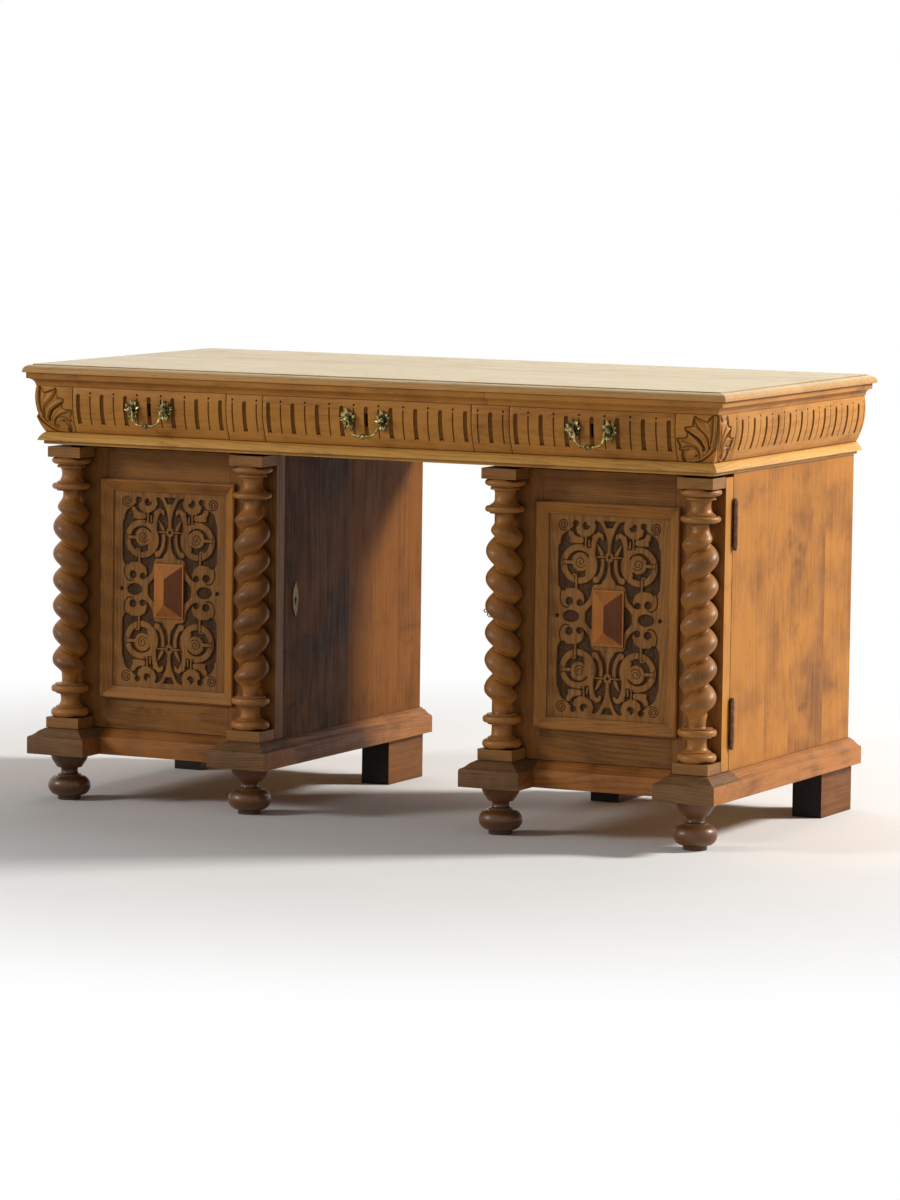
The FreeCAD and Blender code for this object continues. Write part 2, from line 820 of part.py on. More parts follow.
def build_pedestals():
    """Side boards, back, floor and top boards, shelf and cleats of both pedestals."""
    inner = pedestal_inner_place
    outer = pedestal_outer
    inner_face = inner + pedestal_side_thickness
    outer_face = outer - pedestal_side_thickness
    outer_side = box(outer_face, outer, side_front, pedestal_back,
                     z_pedestal_bottom, z_case_under)
    for level in hinge_levels():
        outer_side = outer_side.cut(box(
            outer - hinge_leaf_width + hinge_axis_reach, outer + overrun, side_front - overrun,
            side_front + hinge_leaf_thickness, level - hinge_length / 2,
            level + hinge_length / 2))
    save("pedestal_outer_sides", both_sides([outer_side]))
    keyhole_y = side_front + door_lock_backset
    inner_side = box(inner, inner_face, side_front, pedestal_back,
                     z_pedestal_bottom, z_case_under)
    hole = key_shaft_radius + key_hole_clearance
    inner_side = inner_side.cut(rod(hole, Vector(inner - overrun, keyhole_y, door_lock_centre),
                                    Vector(inner_face + overrun, keyhole_y, door_lock_centre)))
    slot = key_bit_width / 2 + key_hole_clearance
    inner_side = inner_side.cut(box(
        inner - overrun, inner_face + overrun, keyhole_y - slot, keyhole_y + slot,
        door_lock_centre - key_bit_height - key_hole_clearance, door_lock_centre))
    save("pedestal_inner_sides", both_sides([inner_side]))
    back_front = pedestal_back - pedestal_back_thickness
    save("pedestal_backs", both_sides([box(inner_face, outer_face, back_front, pedestal_back,
                                           z_pedestal_bottom, z_case_under)]))
    boards = []
    for low in (z_pedestal_bottom, z_case_under - pedestal_board_thickness):
        boards.append(box(inner_face, outer_face, side_front, back_front,
                          low, low + pedestal_board_thickness))
    save("pedestal_boards", both_sides(boards))
    shelf_low = z_pedestal_bottom + shelf_height
    shelf_front = side_front + door_lock_depth + shelf_set_back
    shelf = box(inner_face + glide_gap, outer_face - glide_gap, shelf_front,
                back_front - glide_gap, shelf_low, shelf_low + shelf_thickness)
    save("pedestal_shelves", both_sides([shelf]))
    cleats = []
    for x in (inner_face, outer_face - cleat_thickness):
        cleats.append(box(x, x + cleat_thickness, shelf_front, back_front,
                          shelf_low - cleat_height, shelf_low))
    save("shelf_cleats", both_sides(cleats))


def plinth_plan(reach_in, level):
    """The outline of the right plinth, drawn in from its outer edge."""
    outer = pedestal_outer + plinth_reach - reach_in
    inner = pedestal_inner_place - plinth_reach + reach_in
    block_front = door_front - block_depth - plinth_block_reach + reach_in
    recess_front = door_front - plinth_recess_reach + reach_in
    width = plinth_block_width - 2 * reach_in
    back = case_back
    plan = [(outer, back), (outer, block_front), (outer - width, block_front),
            (outer - width, recess_front), (inner + width, recess_front),
            (inner + width, block_front), (inner, block_front), (inner, back)]
    return [Vector(x, y, level) for x, y in plan]


def build_plinths():
    """A moulded frame under each pedestal: corner blocks, front, side and back rails."""
    wires = []
    for reach_share, height_share in plinth_slope_shares:
        level = z_plinth_arris + plinth_slope_height * height_share
        points = plinth_plan(plinth_reach * reach_share, level)
        wires.append(Part.makePolygon(points + [points[0]]))
    crown = Part.makeLoft(wires, True, True)
    base = prism(plinth_plan(0, foot_height), Z_AXIS * plinth_band_height)
    body = base.fuse(crown)
    outer = pedestal_outer + plinth_reach
    inner = pedestal_inner_place - plinth_reach
    front = door_front - block_depth - plinth_block_reach
    block_back = door_front + plinth_wall
    rail_back = case_back - plinth_wall
    low = foot_height
    high = z_pedestal_bottom
    far = plinth_block_reach
    zones = [
        box(outer - plinth_block_width, outer, front, block_back, low, high),
        box(inner, inner + plinth_block_width, front, block_back, low, high),
        box(inner + plinth_block_width, outer - plinth_block_width, front, block_back, low, high),
        box(outer - plinth_wall - far, outer, block_back, case_back, low, high),
        box(inner, inner + plinth_wall + far, block_back, case_back, low, high),
        box(inner + plinth_wall + far, outer - plinth_wall - far, rail_back, case_back,
            low, high)]
    save("plinths", both_sides([body.common(zone) for zone in zones]))


def arc_points(centre, radius, first, last, steps):
    """Points along an arc of radius and height pairs; a radius may differ each way."""
    points = []
    for index in range(steps + 1):
        angle = math.radians(first + (last - first) * index / steps)
        points.append((centre[0] + radius[0] * math.cos(angle),
                       centre[1] + radius[1] * math.sin(angle)))
    return points


def build_feet():
    """Turned bun feet in front and plain blocks behind."""
    bun_low = bun_pad_height
    bun_middle = (bun_pad_height + bun_top_height) / 2
    bun_half = bun_top_height / 2 - bun_pad_height / 2
    flat = bun_pad_radius
    ring_top = bun_top_height + bun_ring_height
    neck_top = ring_top + bun_neck_height
    profile = [(0, 0), (flat, 0), (flat, bun_low)]
    profile += arc_points((flat, bun_middle), (bun_radius - flat, bun_half), -90, 90, 14)[1:]
    profile += [(flat, ring_top), (bun_throat_radius, ring_top)]
    hollow = (bun_neck_radius - bun_throat_radius, bun_neck_height / 2)
    profile += arc_points((bun_throat_radius, ring_top + bun_neck_height / 2), hollow,
                          -90, 90, 10)[1:]
    rise = foot_height - neck_top
    growth = bun_collar_radius - bun_bowl_radius
    for reach_share, height_share in bun_bowl_shares:
        profile += [(bun_bowl_radius + growth * reach_share, neck_top + rise * height_share)]
    profile += [(0, foot_height)]
    front_y = door_front - block_depth / 2
    feet = []
    for x in column_places():
        feet.append(turned(profile, Vector(x, front_y, 0)))
    save("bun_feet", both_sides(feet))
    rear = []
    outer = pedestal_outer + plinth_reach - rear_foot_inset
    inner = pedestal_inner_place - plinth_reach + rear_foot_inset
    for x in (outer - rear_foot_width, inner):
        rear.append(box(x, x + rear_foot_width, pedestal_back - rear_foot_depth, pedestal_back,
                        0, foot_height))
    save("rear_feet", both_sides(rear))


# Doors

def column_places():
    """The x places of the outer and inner column of the right pedestal."""
    half = block_width / 2 + block_inset
    return (door_outer - half, door_inner + half)


def build_door_frames():
    """Stiles and rails, tenoned together and grooved for the panel, and the flat panel."""
    open_x = panel_moulding_width / 2 - panel_moulding_lap
    open_z = panel_moulding_height / 2 - panel_moulding_lap
    left = door_middle - open_x
    right = door_middle + open_x
    low = door_centre_z - open_z
    high = door_centre_z + open_z
    face = door_front + panel_sink
    panel = box(left - panel_groove_depth + panel_edge_gap,
                right + panel_groove_depth - panel_edge_gap, face, face + panel_thickness,
                low - panel_groove_depth + panel_edge_gap,
                high + panel_groove_depth - panel_edge_gap)
    groove = box(left - panel_groove_depth, right + panel_groove_depth, face,
                 face + panel_thickness, low - panel_groove_depth, high + panel_groove_depth)
    stiles = [box(door_inner, left, door_front, door_back, z_door_bottom, z_door_top),
              box(right, door_outer, door_front, door_back, z_door_bottom, z_door_top)]
    rails = [box(left, right, door_front, door_back, z_door_bottom, low),
             box(left, right, door_front, door_back, high, z_door_top)]
    tenons = [box(left - tenon_length, right + tenon_length, face, face + panel_thickness,
                  z_door_bottom + tenon_shoulder, low - tenon_shoulder),
              box(left - tenon_length, right + tenon_length, face, face + panel_thickness,
                  high + tenon_shoulder, z_door_top - tenon_shoulder)]
    pockets = []
    for level in hinge_levels():
        pockets.append(box(pedestal_outer - hinge_leaf_width + hinge_axis_reach,
                           door_outer + overrun, door_back - hinge_leaf_thickness,
                           door_back + overrun, level - hinge_length / 2,
                           level + hinge_length / 2))
    stiles = [stile.cut([groove] + tenons + pockets) for stile in stiles]
    rails = [rail.cut(groove).fuse(tenon) for rail, tenon in zip(rails, tenons)]
    save("door_right_frame", stiles + rails)
    save("door_left_frame", [left_of(piece) for piece in stiles + rails])
    save("door_right_panel", [panel])
    save("door_left_panel", [left_of(panel)])


def panel_moulding_section(place):
    """Raised bead outside, falling to the panel in a hollow."""
    width = panel_moulding_face
    bead = panel_bead_width
    proud = panel_moulding_proud
    lap = panel_moulding_lap
    sink = panel_sink
    slant = math.sin(math.pi / 4)
    return outline(place(0, 0), [
        (place(0, proud - bead / 2),),
        (place(bead / 2 * (1 - slant), proud - bead / 2 * (1 - slant)),
         place(bead / 2, proud)),
        (place(bead, proud - bead / 4),),
        (place(width * panel_hollow_share[0], proud * panel_hollow_share[1]),
         place(width, panel_moulding_edge - sink)),
        (place(width, -sink),),
        (place(lap, -sink),),
        (place(lap, 0),)])


def build_panel_mouldings():
    """Four mitred lengths round the panel, lapping over the frame."""
    half_x = panel_moulding_width / 2
    half_z = panel_moulding_height / 2
    pieces = []
    sides = [(X_AXIS, Z_AXIS, half_x, half_z), (Z_AXIS, -X_AXIS, half_z, half_x),
             (-X_AXIS, -Z_AXIS, half_x, half_z), (-Z_AXIS, X_AXIS, half_z, half_x)]
    middle = Vector(door_middle, door_front, door_centre_z)
    depth = panel_moulding_proud + panel_sink
    for along, outward, half_run, half_out in sides:

        def place(inward, proud):
            return middle - along * half_run + outward * (half_out - inward) - Y_AXIS * proud

        bar = Part.Face(panel_moulding_section(place)).extrude(along * (2 * half_run))
        face_y = Vector(0, -depth, 0)
        wide = panel_moulding_face + overrun

        def corner(inward, side):
            return (middle + along * side * (half_run - inward)
                    + outward * (half_out - inward) + face_y)

        mitre = prism([corner(0, -1), corner(0, 1), corner(wide, 1), corner(wide, -1)],
                      Y_AXIS * (2 * depth))
        pieces.append(bar.common(mitre))
    save("door_right_moulding", pieces)
    save("door_left_moulding", [left_of(piece) for piece in pieces])


def build_bosses():
    """Hipped block with an upright ridge, on a thin base, at the middle of each panel."""
    face = door_front + panel_sink
    base_x = boss_width / 2
    base_z = boss_height / 2
    base = box(door_middle - base_x, door_middle + base_x, face - boss_base_thickness, face,
               door_centre_z - base_z, door_centre_z + base_z)
    y = face - boss_base_thickness
    tip = y - boss_rise
    half_x = base_x - boss_base_margin
    half_z = base_z - boss_base_margin
    ridge = boss_ridge_length / 2

    def at(x, depth, z):
        return Vector(door_middle + x, depth, door_centre_z + z)

    corners = [at(-half_x, y, -half_z), at(half_x, y, -half_z),
               at(half_x, y, half_z), at(-half_x, y, half_z)]
    top = at(0, tip, ridge)
    foot = at(0, tip, -ridge)
    faces = [corners, [corners[0], corners[1], foot], [corners[1], corners[2], top, foot],
             [corners[2], corners[3], top], [corners[3], corners[0], foot, top]]
    shell = Part.Shell([Part.Face(Part.makePolygon(points + [points[0]])) for points in faces])
    boss = base.fuse(Part.Solid(shell))
    save("door_right_boss", [boss])
    save("door_left_boss", [left_of(boss)])


def column_end_profile(low, direction):
    """Radius and height pairs of a column's turned end, from its block inward."""
    profile = [(0, low)]
    here = low
    torus = column_torus_height * direction
    middle = here + torus / 2
    profile += [(column_fillet_radius, here)]
    profile += arc_points((column_fillet_radius, middle),
                          (column_torus_radius - column_fillet_radius, torus / 2), -90, 90, 10)[1:]
    here += torus
    fillet = column_fillet_height * direction
    profile += [(column_fillet_radius, here + fillet)]
    here += fillet
    flare = column_flare_height * direction
    deep = column_fillet_radius - column_neck_radius
    profile += arc_points((column_fillet_radius, here + flare), (-deep, flare), -90, 0, 8)[1:]
    here += flare + column_neck_height * direction
    profile += [(column_neck_radius, here)]
    profile += [(column_fillet_radius + column_fillet_height, here)]
    ring = column_ring_height * direction
    edge = column_fillet_radius + column_fillet_height
    profile += arc_points((edge, here + ring / 2), (column_ring_radius - edge, ring / 2),
                          -90, 90, 8)[1:]
    here += ring
    profile += [(column_fillet_radius, here), (column_fillet_radius, here + fillet)]
    here += fillet
    profile += [(0, here)]
    return profile, here


def twist_radius_at(angle, fade):
    """Radius of the twisted shaft at an angle from its ridge."""
    soft = twist_softness
    share = (math.sqrt(math.cos(angle / 2)**2 + soft**2) - soft) / (math.sqrt(1 + soft**2) - soft)
    share = max(0, share)**twist_fullness
    full = twist_groove_radius + (twist_radius - twist_groove_radius) * share
    return shaft_neck_radius + (full - shaft_neck_radius) * fade


def twisted_shaft(centre, low, high):
    """A right-handed one-start twist that fades into a round neck at both ends."""
    rows = int(twist_turns * twist_rows_per_turn)
    height = high - low
    start = low + shaft_neck_height
    end = high - shaft_neck_height
    swell = 3 / (2 + math.cos(2 * math.pi / twist_columns))

    def pole(column_index, row):
        z = low + height * row / rows
        near = max(0, min(1, min(z - start, end - z) / twist_fade_height))
        fade = near * near * (3 - 2 * near)
        angle = 2 * math.pi * column_index / twist_columns
        turn = 2 * math.pi * (twist_start_share + twist_turns * row / rows)
        radius = twist_radius_at(angle, fade) * swell
        return Vector(centre.x + radius * math.cos(angle + turn),
                      centre.y + radius * math.sin(angle + turn), z)

    poles = [[pole(index, row) for row in range(rows + 1)] for index in range(twist_columns)]
    degree = 3
    spans = rows + 1 - degree
    surface = Part.BSplineSurface()
    surface.buildFromPolesMultsKnots(
        poles, [1] * (twist_columns + 1), [degree + 1] + [1] * (spans - 1) + [degree + 1],
        list(range(twist_columns + 1)), list(range(spans + 1)), True, False, degree, degree)
    side = surface.toShape()
    rims = [edge for edge in side.Edges if edge.BoundBox.ZLength < pin_clearance]
    ends = [Part.Face(Part.Wire([rim])) for rim in rims]
    solid = Part.Solid(Part.makeShell([side] + ends))
    solid.fix(fix_tolerance, fix_tolerance, fix_tolerance)
    return solid


def column(x):
    """Cap block, turned ends, twisted shaft and base block, cut flat where it meets the door."""
    y = door_front - block_depth / 2
    half = block_width / 2
    base_top = z_door_bottom + base_block_height
    cap_bottom = z_door_top - cap_block_height
    centre = Vector(x, y, 0)
    blocks = [
        box(x - half, x + half, door_front - block_depth, door_front, z_door_bottom, base_top),
        box(x - half, x + half, door_front - block_depth, door_front, cap_bottom, z_door_top)]
    low_profile, shaft_low = column_end_profile(base_top, 1)
    high_profile, shaft_high = column_end_profile(cap_bottom, -1)
    turnings = [turned(low_profile, centre), turned(high_profile, centre)]
    shaft = twisted_shaft(centre, shaft_low, shaft_high)
    behind = box(x - block_width, x + block_width, door_front, door_front + block_depth,
                 0, desk_height)
    pieces = [piece.cut(behind) for piece in turnings + [shaft]]
    return pieces[0].fuse(pieces[1:] + blocks)


def build_columns():
    """Outer column with a right-hand twist and inner with a left-hand twist, and their mirror."""
    outer_x, inner_x = column_places()
    outer = column(outer_x)
    inner = left_of(outer).translated(Vector(outer_x + inner_x, 0, 0))
    columns = [outer, inner]
    save("door_right_columns", columns)
    save("door_left_columns", [left_of(piece) for piece in columns])


# Hinges

def build_hinges():
    """Butt hinges in the seam behind each door's outer edge, with finials on their pins."""
    axis_x = pedestal_outer + hinge_axis_reach
    axis_y = (door_back + side_front) / 2
    third = hinge_length / 3
    leaf_in = pedestal_outer - hinge_leaf_width + hinge_axis_reach
    door_leaves = []
    case_leaves = []
    pins = []
    for level in hinge_levels():
        low = level - hinge_length / 2
        high = level + hinge_length / 2
        inner_low = low + third
        inner_high = high - third
        bore = rod(hinge_pin_radius + pin_clearance, Vector(axis_x, axis_y, low - overrun),
                   Vector(axis_x, axis_y, high + overrun))
        door_y = (door_back - hinge_leaf_thickness, door_back)
        door_leaf = box(leaf_in, door_outer, door_y[0], door_y[1], low, high)
        gap = knuckle_gap / 2
        tongue = box(door_outer - hinge_leaf_thickness, axis_x, door_y[0], door_y[1],
                     inner_low + gap, inner_high - gap)
        knuckle = rod(hinge_knuckle_radius, Vector(axis_x, axis_y, inner_low + gap),
                      Vector(axis_x, axis_y, inner_high - gap))
        door_leaves.append(door_leaf.fuse([tongue, knuckle]).cut(bore))
        case_y = (side_front, side_front + hinge_leaf_thickness)
        case_leaf = box(leaf_in, pedestal_outer, case_y[0], case_y[1], low, high)
        extras = []
        for z0, z1 in ((low, inner_low - gap), (inner_high + gap, high)):
            extras.append(box(pedestal_outer - hinge_leaf_thickness, axis_x,
                              case_y[0], case_y[1], z0, z1))
            extras.append(rod(hinge_knuckle_radius, Vector(axis_x, axis_y, z0),
                              Vector(axis_x, axis_y, z1)))
        case_leaves.append(case_leaf.fuse(extras).cut(bore))
        pin = rod(hinge_pin_radius, Vector(axis_x, axis_y, low), Vector(axis_x, axis_y, high))
        tips = []
        for z, way in ((low, -1), (high, 1)):
            profile = [(0, z), (hinge_finial_radius, z)]
            profile += arc_points((0, z + way * hinge_finial_radius),
                                  (hinge_finial_radius, hinge_finial_radius * way), 0, 45, 4)
            profile += [(hinge_pin_radius / 2, z + way * hinge_finial_height),
                        (0, z + way * hinge_finial_height)]
            tips.append(turned(profile, Vector(axis_x, axis_y, 0)))
        pins.append(pin.fuse(tips))
    save("hinge_case_leaves", both_sides(case_leaves))
    save("hinge_pins", both_sides(pins))
    save("door_right_hinge_leaves", door_leaves)
    save("door_left_hinge_leaves", [left_of(leaf) for leaf in door_leaves])


# Door locks

def build_door_locks():
    """Rim lock on each inner side board, its bolt, and the staple on the door."""
    wall = lock_wall
    x0 = pedestal_inner_place + pedestal_side_thickness
    x1 = x0 + door_lock_thickness
    y0 = side_front
    y1 = y0 + door_lock_depth
    z0 = door_lock_centre - door_lock_height / 2
    z1 = door_lock_centre + door_lock_height / 2
    keyhole_y = side_front + door_lock_backset
    middle_x = (x0 + x1) / 2
    case = box(x0, x1, y0, y1, z0, z1)
    case = case.cut(box(x0 + wall, x1 - wall, y0 + wall, y1 - wall, z0 + wall, z1 - wall))
    half = staple_width / 2 + staple_clearance
    thick = staple_thickness / 2 + bolt_clearance
    case = case.cut(box(middle_x - half, middle_x + half, y0 - overrun, y0 + 2 * wall,
                        door_lock_centre - thick, door_lock_centre + thick))
    hole = key_shaft_radius + key_hole_clearance
    case = case.cut(rod(hole, Vector(x0 - overrun, keyhole_y, door_lock_centre),
                        Vector(x0 + 2 * wall, keyhole_y, door_lock_centre)))
    slot = key_bit_width / 2 + key_hole_clearance
    case = case.cut(box(x0 - overrun, x0 + 2 * wall, keyhole_y - slot, keyhole_y + slot,
                        door_lock_centre - key_bit_height - key_hole_clearance,
                        door_lock_centre))
    save("door_lock_cases", both_sides([case]))
    eye_front = door_back + door_bolt_reach - staple_hole_length - staple_thickness
    staple = box(middle_x - staple_width / 2, middle_x + staple_width / 2, door_back,
                 door_back + door_bolt_reach, door_lock_centre - staple_thickness / 2,
                 door_lock_centre + staple_thickness / 2)
    eye_half = staple_hole_width / 2
    eye_back = eye_front + staple_hole_length
    staple = staple.cut(box(middle_x - eye_half, middle_x + eye_half, eye_front, eye_back,
                            door_lock_centre - staple_thickness,
                            door_lock_centre + staple_thickness))
    save("door_right_staple", [staple])
    save("door_left_staple", [left_of(staple)])
    bolt_half = door_bolt_thickness / 2
    eye_middle = (eye_front + eye_back) / 2
    bar_front = eye_middle - door_bolt_length / 2
    bar_back = eye_middle + door_bolt_length / 2
    bar_low = door_lock_centre + staple_thickness / 2 + bolt_clearance * 2
    web_low = bar_low + door_bolt_throw
    web_high = z1 - wall - bolt_clearance
    bolt_x = (middle_x - bolt_half, middle_x + bolt_half)
    tail_back = keyhole_y + door_bolt_length / 2
    bar = box(bolt_x[0], bolt_x[1], bar_front, bar_back, bar_low, web_high)
    web = box(bolt_x[0], bolt_x[1], bar_front, tail_back, web_low, web_high)
    tail = box(bolt_x[0], bolt_x[1], keyhole_y - door_bolt_length / 2, tail_back,
               web_low - door_bolt_tail_height / 4, web_high)
    bolt = bar.fuse([web, tail]).removeSplitter()
    save("door_right_bolt", [bolt])
    save("door_left_bolt", [left_of(bolt)])
    build_escutcheons(keyhole_y)
    build_key(keyhole_y, x0, wall)


def build_escutcheons(keyhole_y):
    """Pointed oval plates round the keyholes, on the kneehole faces."""
    x = pedestal_inner_place
    half_y = escutcheon_width / 2
    half_z = escutcheon_height / 2

    def at(y, z):
        return Vector(x - escutcheon_thickness, keyhole_y + y, door_lock_centre + z)

    wire = outline(at(0, -half_z), [
        (at(half_y, 0), at(0, half_z)),
        (at(-half_y, 0), at(0, -half_z))])
    plate = Part.Face(wire).extrude(X_AXIS * escutcheon_thickness)
    hole = key_shaft_radius + key_hole_clearance
    plate = plate.cut(rod(hole, at(0, 0) - X_AXIS * overrun, at(0, 0) + X_AXIS * overrun))
    slot = key_bit_width / 2 + key_hole_clearance
    plate = plate.cut(box(x - overrun, x + overrun, keyhole_y - slot, keyhole_y + slot,
                          door_lock_centre - key_bit_height - key_hole_clearance,
                          door_lock_centre))
    save("escutcheons", both_sides([plate]))


def build_key(keyhole_y, lock_x, wall):
    """Key in the right pedestal's lock: two loops and a small ring, shank and bit."""
    bolt_face = lock_x + door_lock_thickness / 2 - door_bolt_thickness / 2
    end_x = bolt_face - bolt_clearance
    z = door_lock_centre
    half = key_bow_wire / 2
    ring_x = pedestal_inner_place - key_bow_reach
    loop_x = ring_x + key_ring_radius + key_loop_radius - half
    bow = [Part.makeTorus(key_ring_radius - half, half, Vector(ring_x, keyhole_y, z), Y_AXIS)]
    for way in (-1, 1):
        centre = Vector(loop_x, keyhole_y, z + way * (key_loop_radius - half))
        bow.append(Part.makeTorus(key_loop_radius - half, half, centre, Y_AXIS))
    shank = rod(key_shaft_radius, Vector(loop_x, keyhole_y, z), Vector(end_x, keyhole_y, z))
    bit_x = lock_x + wall + bolt_clearance
    bit = box(bit_x, end_x, keyhole_y - key_bit_width / 2, keyhole_y + key_bit_width / 2,
              z - key_bit_height, z)
    save("key", [shank.fuse(bow + [bit])])


def main():
    os.makedirs("parts", exist_ok=True)
    build_desktop()
    build_cornice()
    build_lower_moulding()
    build_frieze()
    build_case()
    build_drawer("left", -outer_drawer_end, -outer_drawer_start, outer_drawer_flutes)
    build_drawer("centre", -centre_drawer_edge, centre_drawer_edge, centre_drawer_flutes)
    build_drawer("right", outer_drawer_start, outer_drawer_end, outer_drawer_flutes)
    build_pedestals()
    build_plinths()
    build_feet()
    build_door_frames()
    build_panel_mouldings()
    build_bosses()
    build_columns()
    build_hinges()
    build_door_locks()
    print("door hinge axis", pedestal_outer + hinge_axis_reach,
          (door_back + side_front) / 2 + origin_shift)
    print("bail axis", bail_y + origin_shift, handle_z)
    print("drawer travel", drawer_travel, "drawer bolt throw", drawer_bolt_throw)
    print("shift", origin_shift)


main()
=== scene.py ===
"""Looks of a carved oak pedestal desk: worn oak, strapwork panels, twisted columns, brass handles.

What is drawn here is in millimetres and what Blender gets in metres. Front is -Y, right is +X.
"""

import json
import math

import bmesh
import bpy
import numpy as np
from mathutils import Matrix, Vector

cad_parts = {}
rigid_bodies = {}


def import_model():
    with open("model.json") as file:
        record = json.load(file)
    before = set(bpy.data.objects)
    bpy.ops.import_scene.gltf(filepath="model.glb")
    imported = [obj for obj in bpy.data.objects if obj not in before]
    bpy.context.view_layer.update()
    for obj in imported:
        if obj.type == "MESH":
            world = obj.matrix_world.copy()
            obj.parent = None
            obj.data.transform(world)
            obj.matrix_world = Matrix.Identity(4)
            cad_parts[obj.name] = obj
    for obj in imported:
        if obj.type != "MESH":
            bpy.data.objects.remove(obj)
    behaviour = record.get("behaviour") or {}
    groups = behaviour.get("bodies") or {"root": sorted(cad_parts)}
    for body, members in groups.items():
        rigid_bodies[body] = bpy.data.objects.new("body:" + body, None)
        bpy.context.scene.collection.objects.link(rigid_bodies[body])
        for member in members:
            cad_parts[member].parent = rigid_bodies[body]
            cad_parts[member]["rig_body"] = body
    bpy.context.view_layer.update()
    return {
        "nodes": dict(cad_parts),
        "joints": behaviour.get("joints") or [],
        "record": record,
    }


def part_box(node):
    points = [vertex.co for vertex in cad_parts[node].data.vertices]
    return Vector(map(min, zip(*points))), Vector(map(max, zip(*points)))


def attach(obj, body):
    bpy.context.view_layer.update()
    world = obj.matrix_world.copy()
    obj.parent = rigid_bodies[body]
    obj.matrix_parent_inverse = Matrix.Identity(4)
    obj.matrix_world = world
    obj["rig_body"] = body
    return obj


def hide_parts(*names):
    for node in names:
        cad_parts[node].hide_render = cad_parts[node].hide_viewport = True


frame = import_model()

MM = 0.001
SIDES = ("left", "right")
DRAWERS = ("left", "centre", "right")
random = np.random.default_rng(1890)


def smooth(low, high, value):
    """Goes from 0 at low to 1 at high with soft ends."""
    t = np.clip((value - low) / (high - low), 0, 1)
    return t * t * (3 - 2 * t)


# Materials

class Graph:
    """A short way to write the nodes of a material or world."""

    def __init__(self, owner):
        owner.use_nodes = True
        self.owner = owner
        self.tree = owner.node_tree
        self.tree.nodes.clear()

    def add(self, kind, settings=None, **inputs):
        node = self.tree.nodes.new("ShaderNode" + kind)
        for key, value in (settings or {}).items():
            setattr(node, key, value)
        for key, value in inputs.items():
            self.put(node.inputs[key.replace("_", " ")], value)
        return node

    def put(self, socket, value):
        if isinstance(value, bpy.types.NodeSocket):
            self.tree.links.new(value, socket)
        else:
            socket.default_value = value

    def fill(self, node, *values):
        """Puts values on a node's first inputs and gives its first output."""
        for socket, value in zip(node.inputs, values):
            self.put(socket, value)
        return node.outputs[0]

    def math(self, operation, *values):
        return self.fill(self.add("Math", {"operation": operation}), *values)

    def vector(self, operation, *values):
        return self.fill(self.add("VectorMath", {"operation": operation}), *values)

    def mix(self, factor, a, b):
        node = self.add("Mix", {"data_type": "RGBA"})
        for index, value in ((0, factor), (6, a), (7, b)):
            self.put(node.inputs[index], value)
        return node.outputs[2]

    def scaled(self, vector, scale):
        return self.add("Mapping", Vector=vector, Scale=scale).outputs[0]

    def noise(self, vector, scale=1.0, detail=3.0, rough=0.55, distortion=0.0):
        node = self.add("TexNoise", Vector=vector, Scale=scale, Detail=detail, Roughness=rough,
                        Distortion=distortion)
        return node.outputs[0]

    def ramp(self, value, low, high, out_low=0.0, out_high=1.0):
        node = self.add("MapRange", {"interpolation_type": "SMOOTHSTEP"}, Value=value,
                        From_Min=low, From_Max=high, To_Min=out_low, To_Max=out_high)
        return node.outputs[0]

    def show(self, shader, kind="OutputMaterial"):
        self.put(self.add(kind).inputs[0], shader)
        return self.owner


def colour(seen):
    """A colour seen on a screen, 0 to 255, as the shader wants it."""
    values = [c / 255 for c in seen]
    values = [c / 12.92 if c < 0.04045 else ((c + 0.055) / 1.055) ** 2.4 for c in values]
    return (*values, 1.0)


def darkened(tint, share):
    """A shader's colour at a share of its light."""
    return tuple(c * share for c in tint[:3]) + (1.0,)


